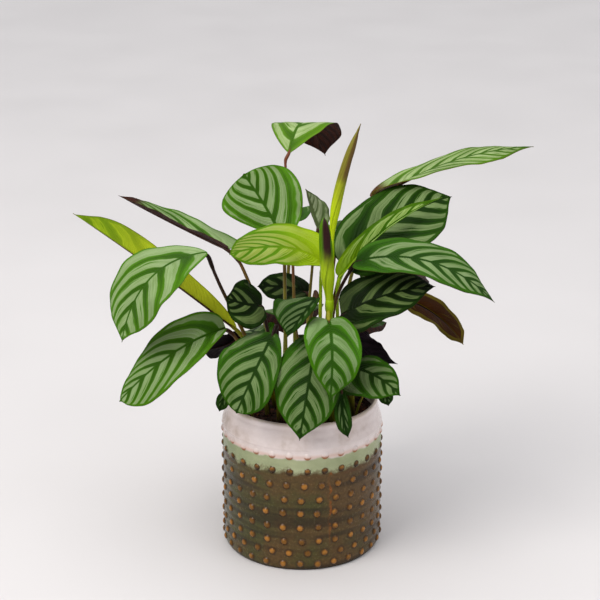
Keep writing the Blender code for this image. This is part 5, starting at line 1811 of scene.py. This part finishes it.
@dataclass(frozen=True)
class Studio:
    """A pale floor, soft lamps, an even grey surround, and the camera.

    Args:
        lamps: The lamps.
        surround: Colour of the light from all round.
        surround_power: Its strength.
        floor_tone: Colour of the floor.
        floor_size: Length of its sides, in metres.
        floor_drop: How far the floor lies below the foot, in millimetres.
    """

    lamps: tuple[SoftLight, ...] = (
        SoftLight("key_from_left", (-1.1, -1.0, 1.9), (1.3, 1.3), 34.0, "#fffaf4"),
        SoftLight("fill_from_right", (1.6, -0.9, 1.1), (1.2, 1.2), 6.0),
        SoftLight("ceiling_light", (0.0, 1.0, 5.0), (12.0, 12.0), 430.0, target=(0.0, 1.0, 0.0)),
    )
    surround: str = "#d4d2d3"
    surround_power: float = 0.62
    floor_tone: str = "#cfcdce"
    floor_size: float = 14.0
    floor_drop: float = 0.1

    def build(self) -> None:
        """Set up the stage, the lights and the camera."""
        world = bpy.data.worlds.new("studio_surround")
        world.use_nodes = True
        sky = world.node_tree.nodes["Background"]
        sky.inputs["Color"].default_value = linear(self.surround)
        sky.inputs["Strength"].default_value = self.surround_power
        scene = bpy.context.scene
        scene.world = world
        scene.view_settings.view_transform = "Standard"
        for lamp in self.lamps:
            lamp.build()
        self.add_floor()
        self.add_camera()

    def add_floor(self) -> None:
        """Lay the pale plain floor."""
        # Pale matt paint, clouded so faintly that only the soft shadows show on it.
        m = Recipe("painted_board")
        spot = m.add("TexCoord", {}, output=3)
        cloud = m.add("TexNoise", {"Vector": spot, "Scale": 5.0, "Detail": 3.0})
        tone = m.add("MapRange", {0: cloud, 1: 0.3, 2: 0.7, 3: 0.99, 4: 1.01})
        colour = m.add("VectorMath", {0: linear(self.floor_tone)[:3], 3: tone}, operation="SCALE")
        rough = m.add("MapRange", {0: cloud, 1: 0.3, 2: 0.7, 3: 0.45, 4: 0.6})
        material = m.finish({"Base Color": colour, "Roughness": rough})
        half = self.floor_size * PER_METRE / 2
        patch = Patch(())
        low = -self.floor_drop
        square = np.array(((-half, -half, low), (half, -half, low), (half, half, low), (-half, half, low)))
        patch.add(square, np.array(((0, 1, 2, 3),)), 0, {})
        floor = patch.piece("floor", [material], 30.0)

    def add_camera(self) -> None:
        """Place the camera at the photograph's viewing angle."""
        data = bpy.data.cameras.new("camera")
        data.sensor_width = CAMERA_SENSOR
        data.lens = CAMERA_LENS
        data.shift_x = CAMERA_SHIFT
        data.clip_end = CAMERA_REACH
        camera = bpy.data.objects.new("camera", data)
        camera.location = [value * MM for value in CAMERA_PLACE]
        camera.rotation_euler = (math.radians(90 - CAMERA_PITCH), 0.0, 0.0)
        bpy.context.collection.objects.link(camera)
        bpy.context.scene.camera = camera


def main() -> None:
    """Build the studio, the pot, the soil and every leaf, and report each piece."""
    logging.basicConfig(level=logging.INFO, format="%(message)s")
    finish = Finishes()
    Studio().build()
    leaves = CROWN_LEAVES + FRONT_LEAVES + SMALL_AND_BACK_LEAVES
    for part in (HobnailPot(), SoilBed(), *leaves):
        piece = part.build(finish)
        log.info("%s: %d faces", piece.name, len(piece.data.polygons))


if __name__ == "__main__":
    main()
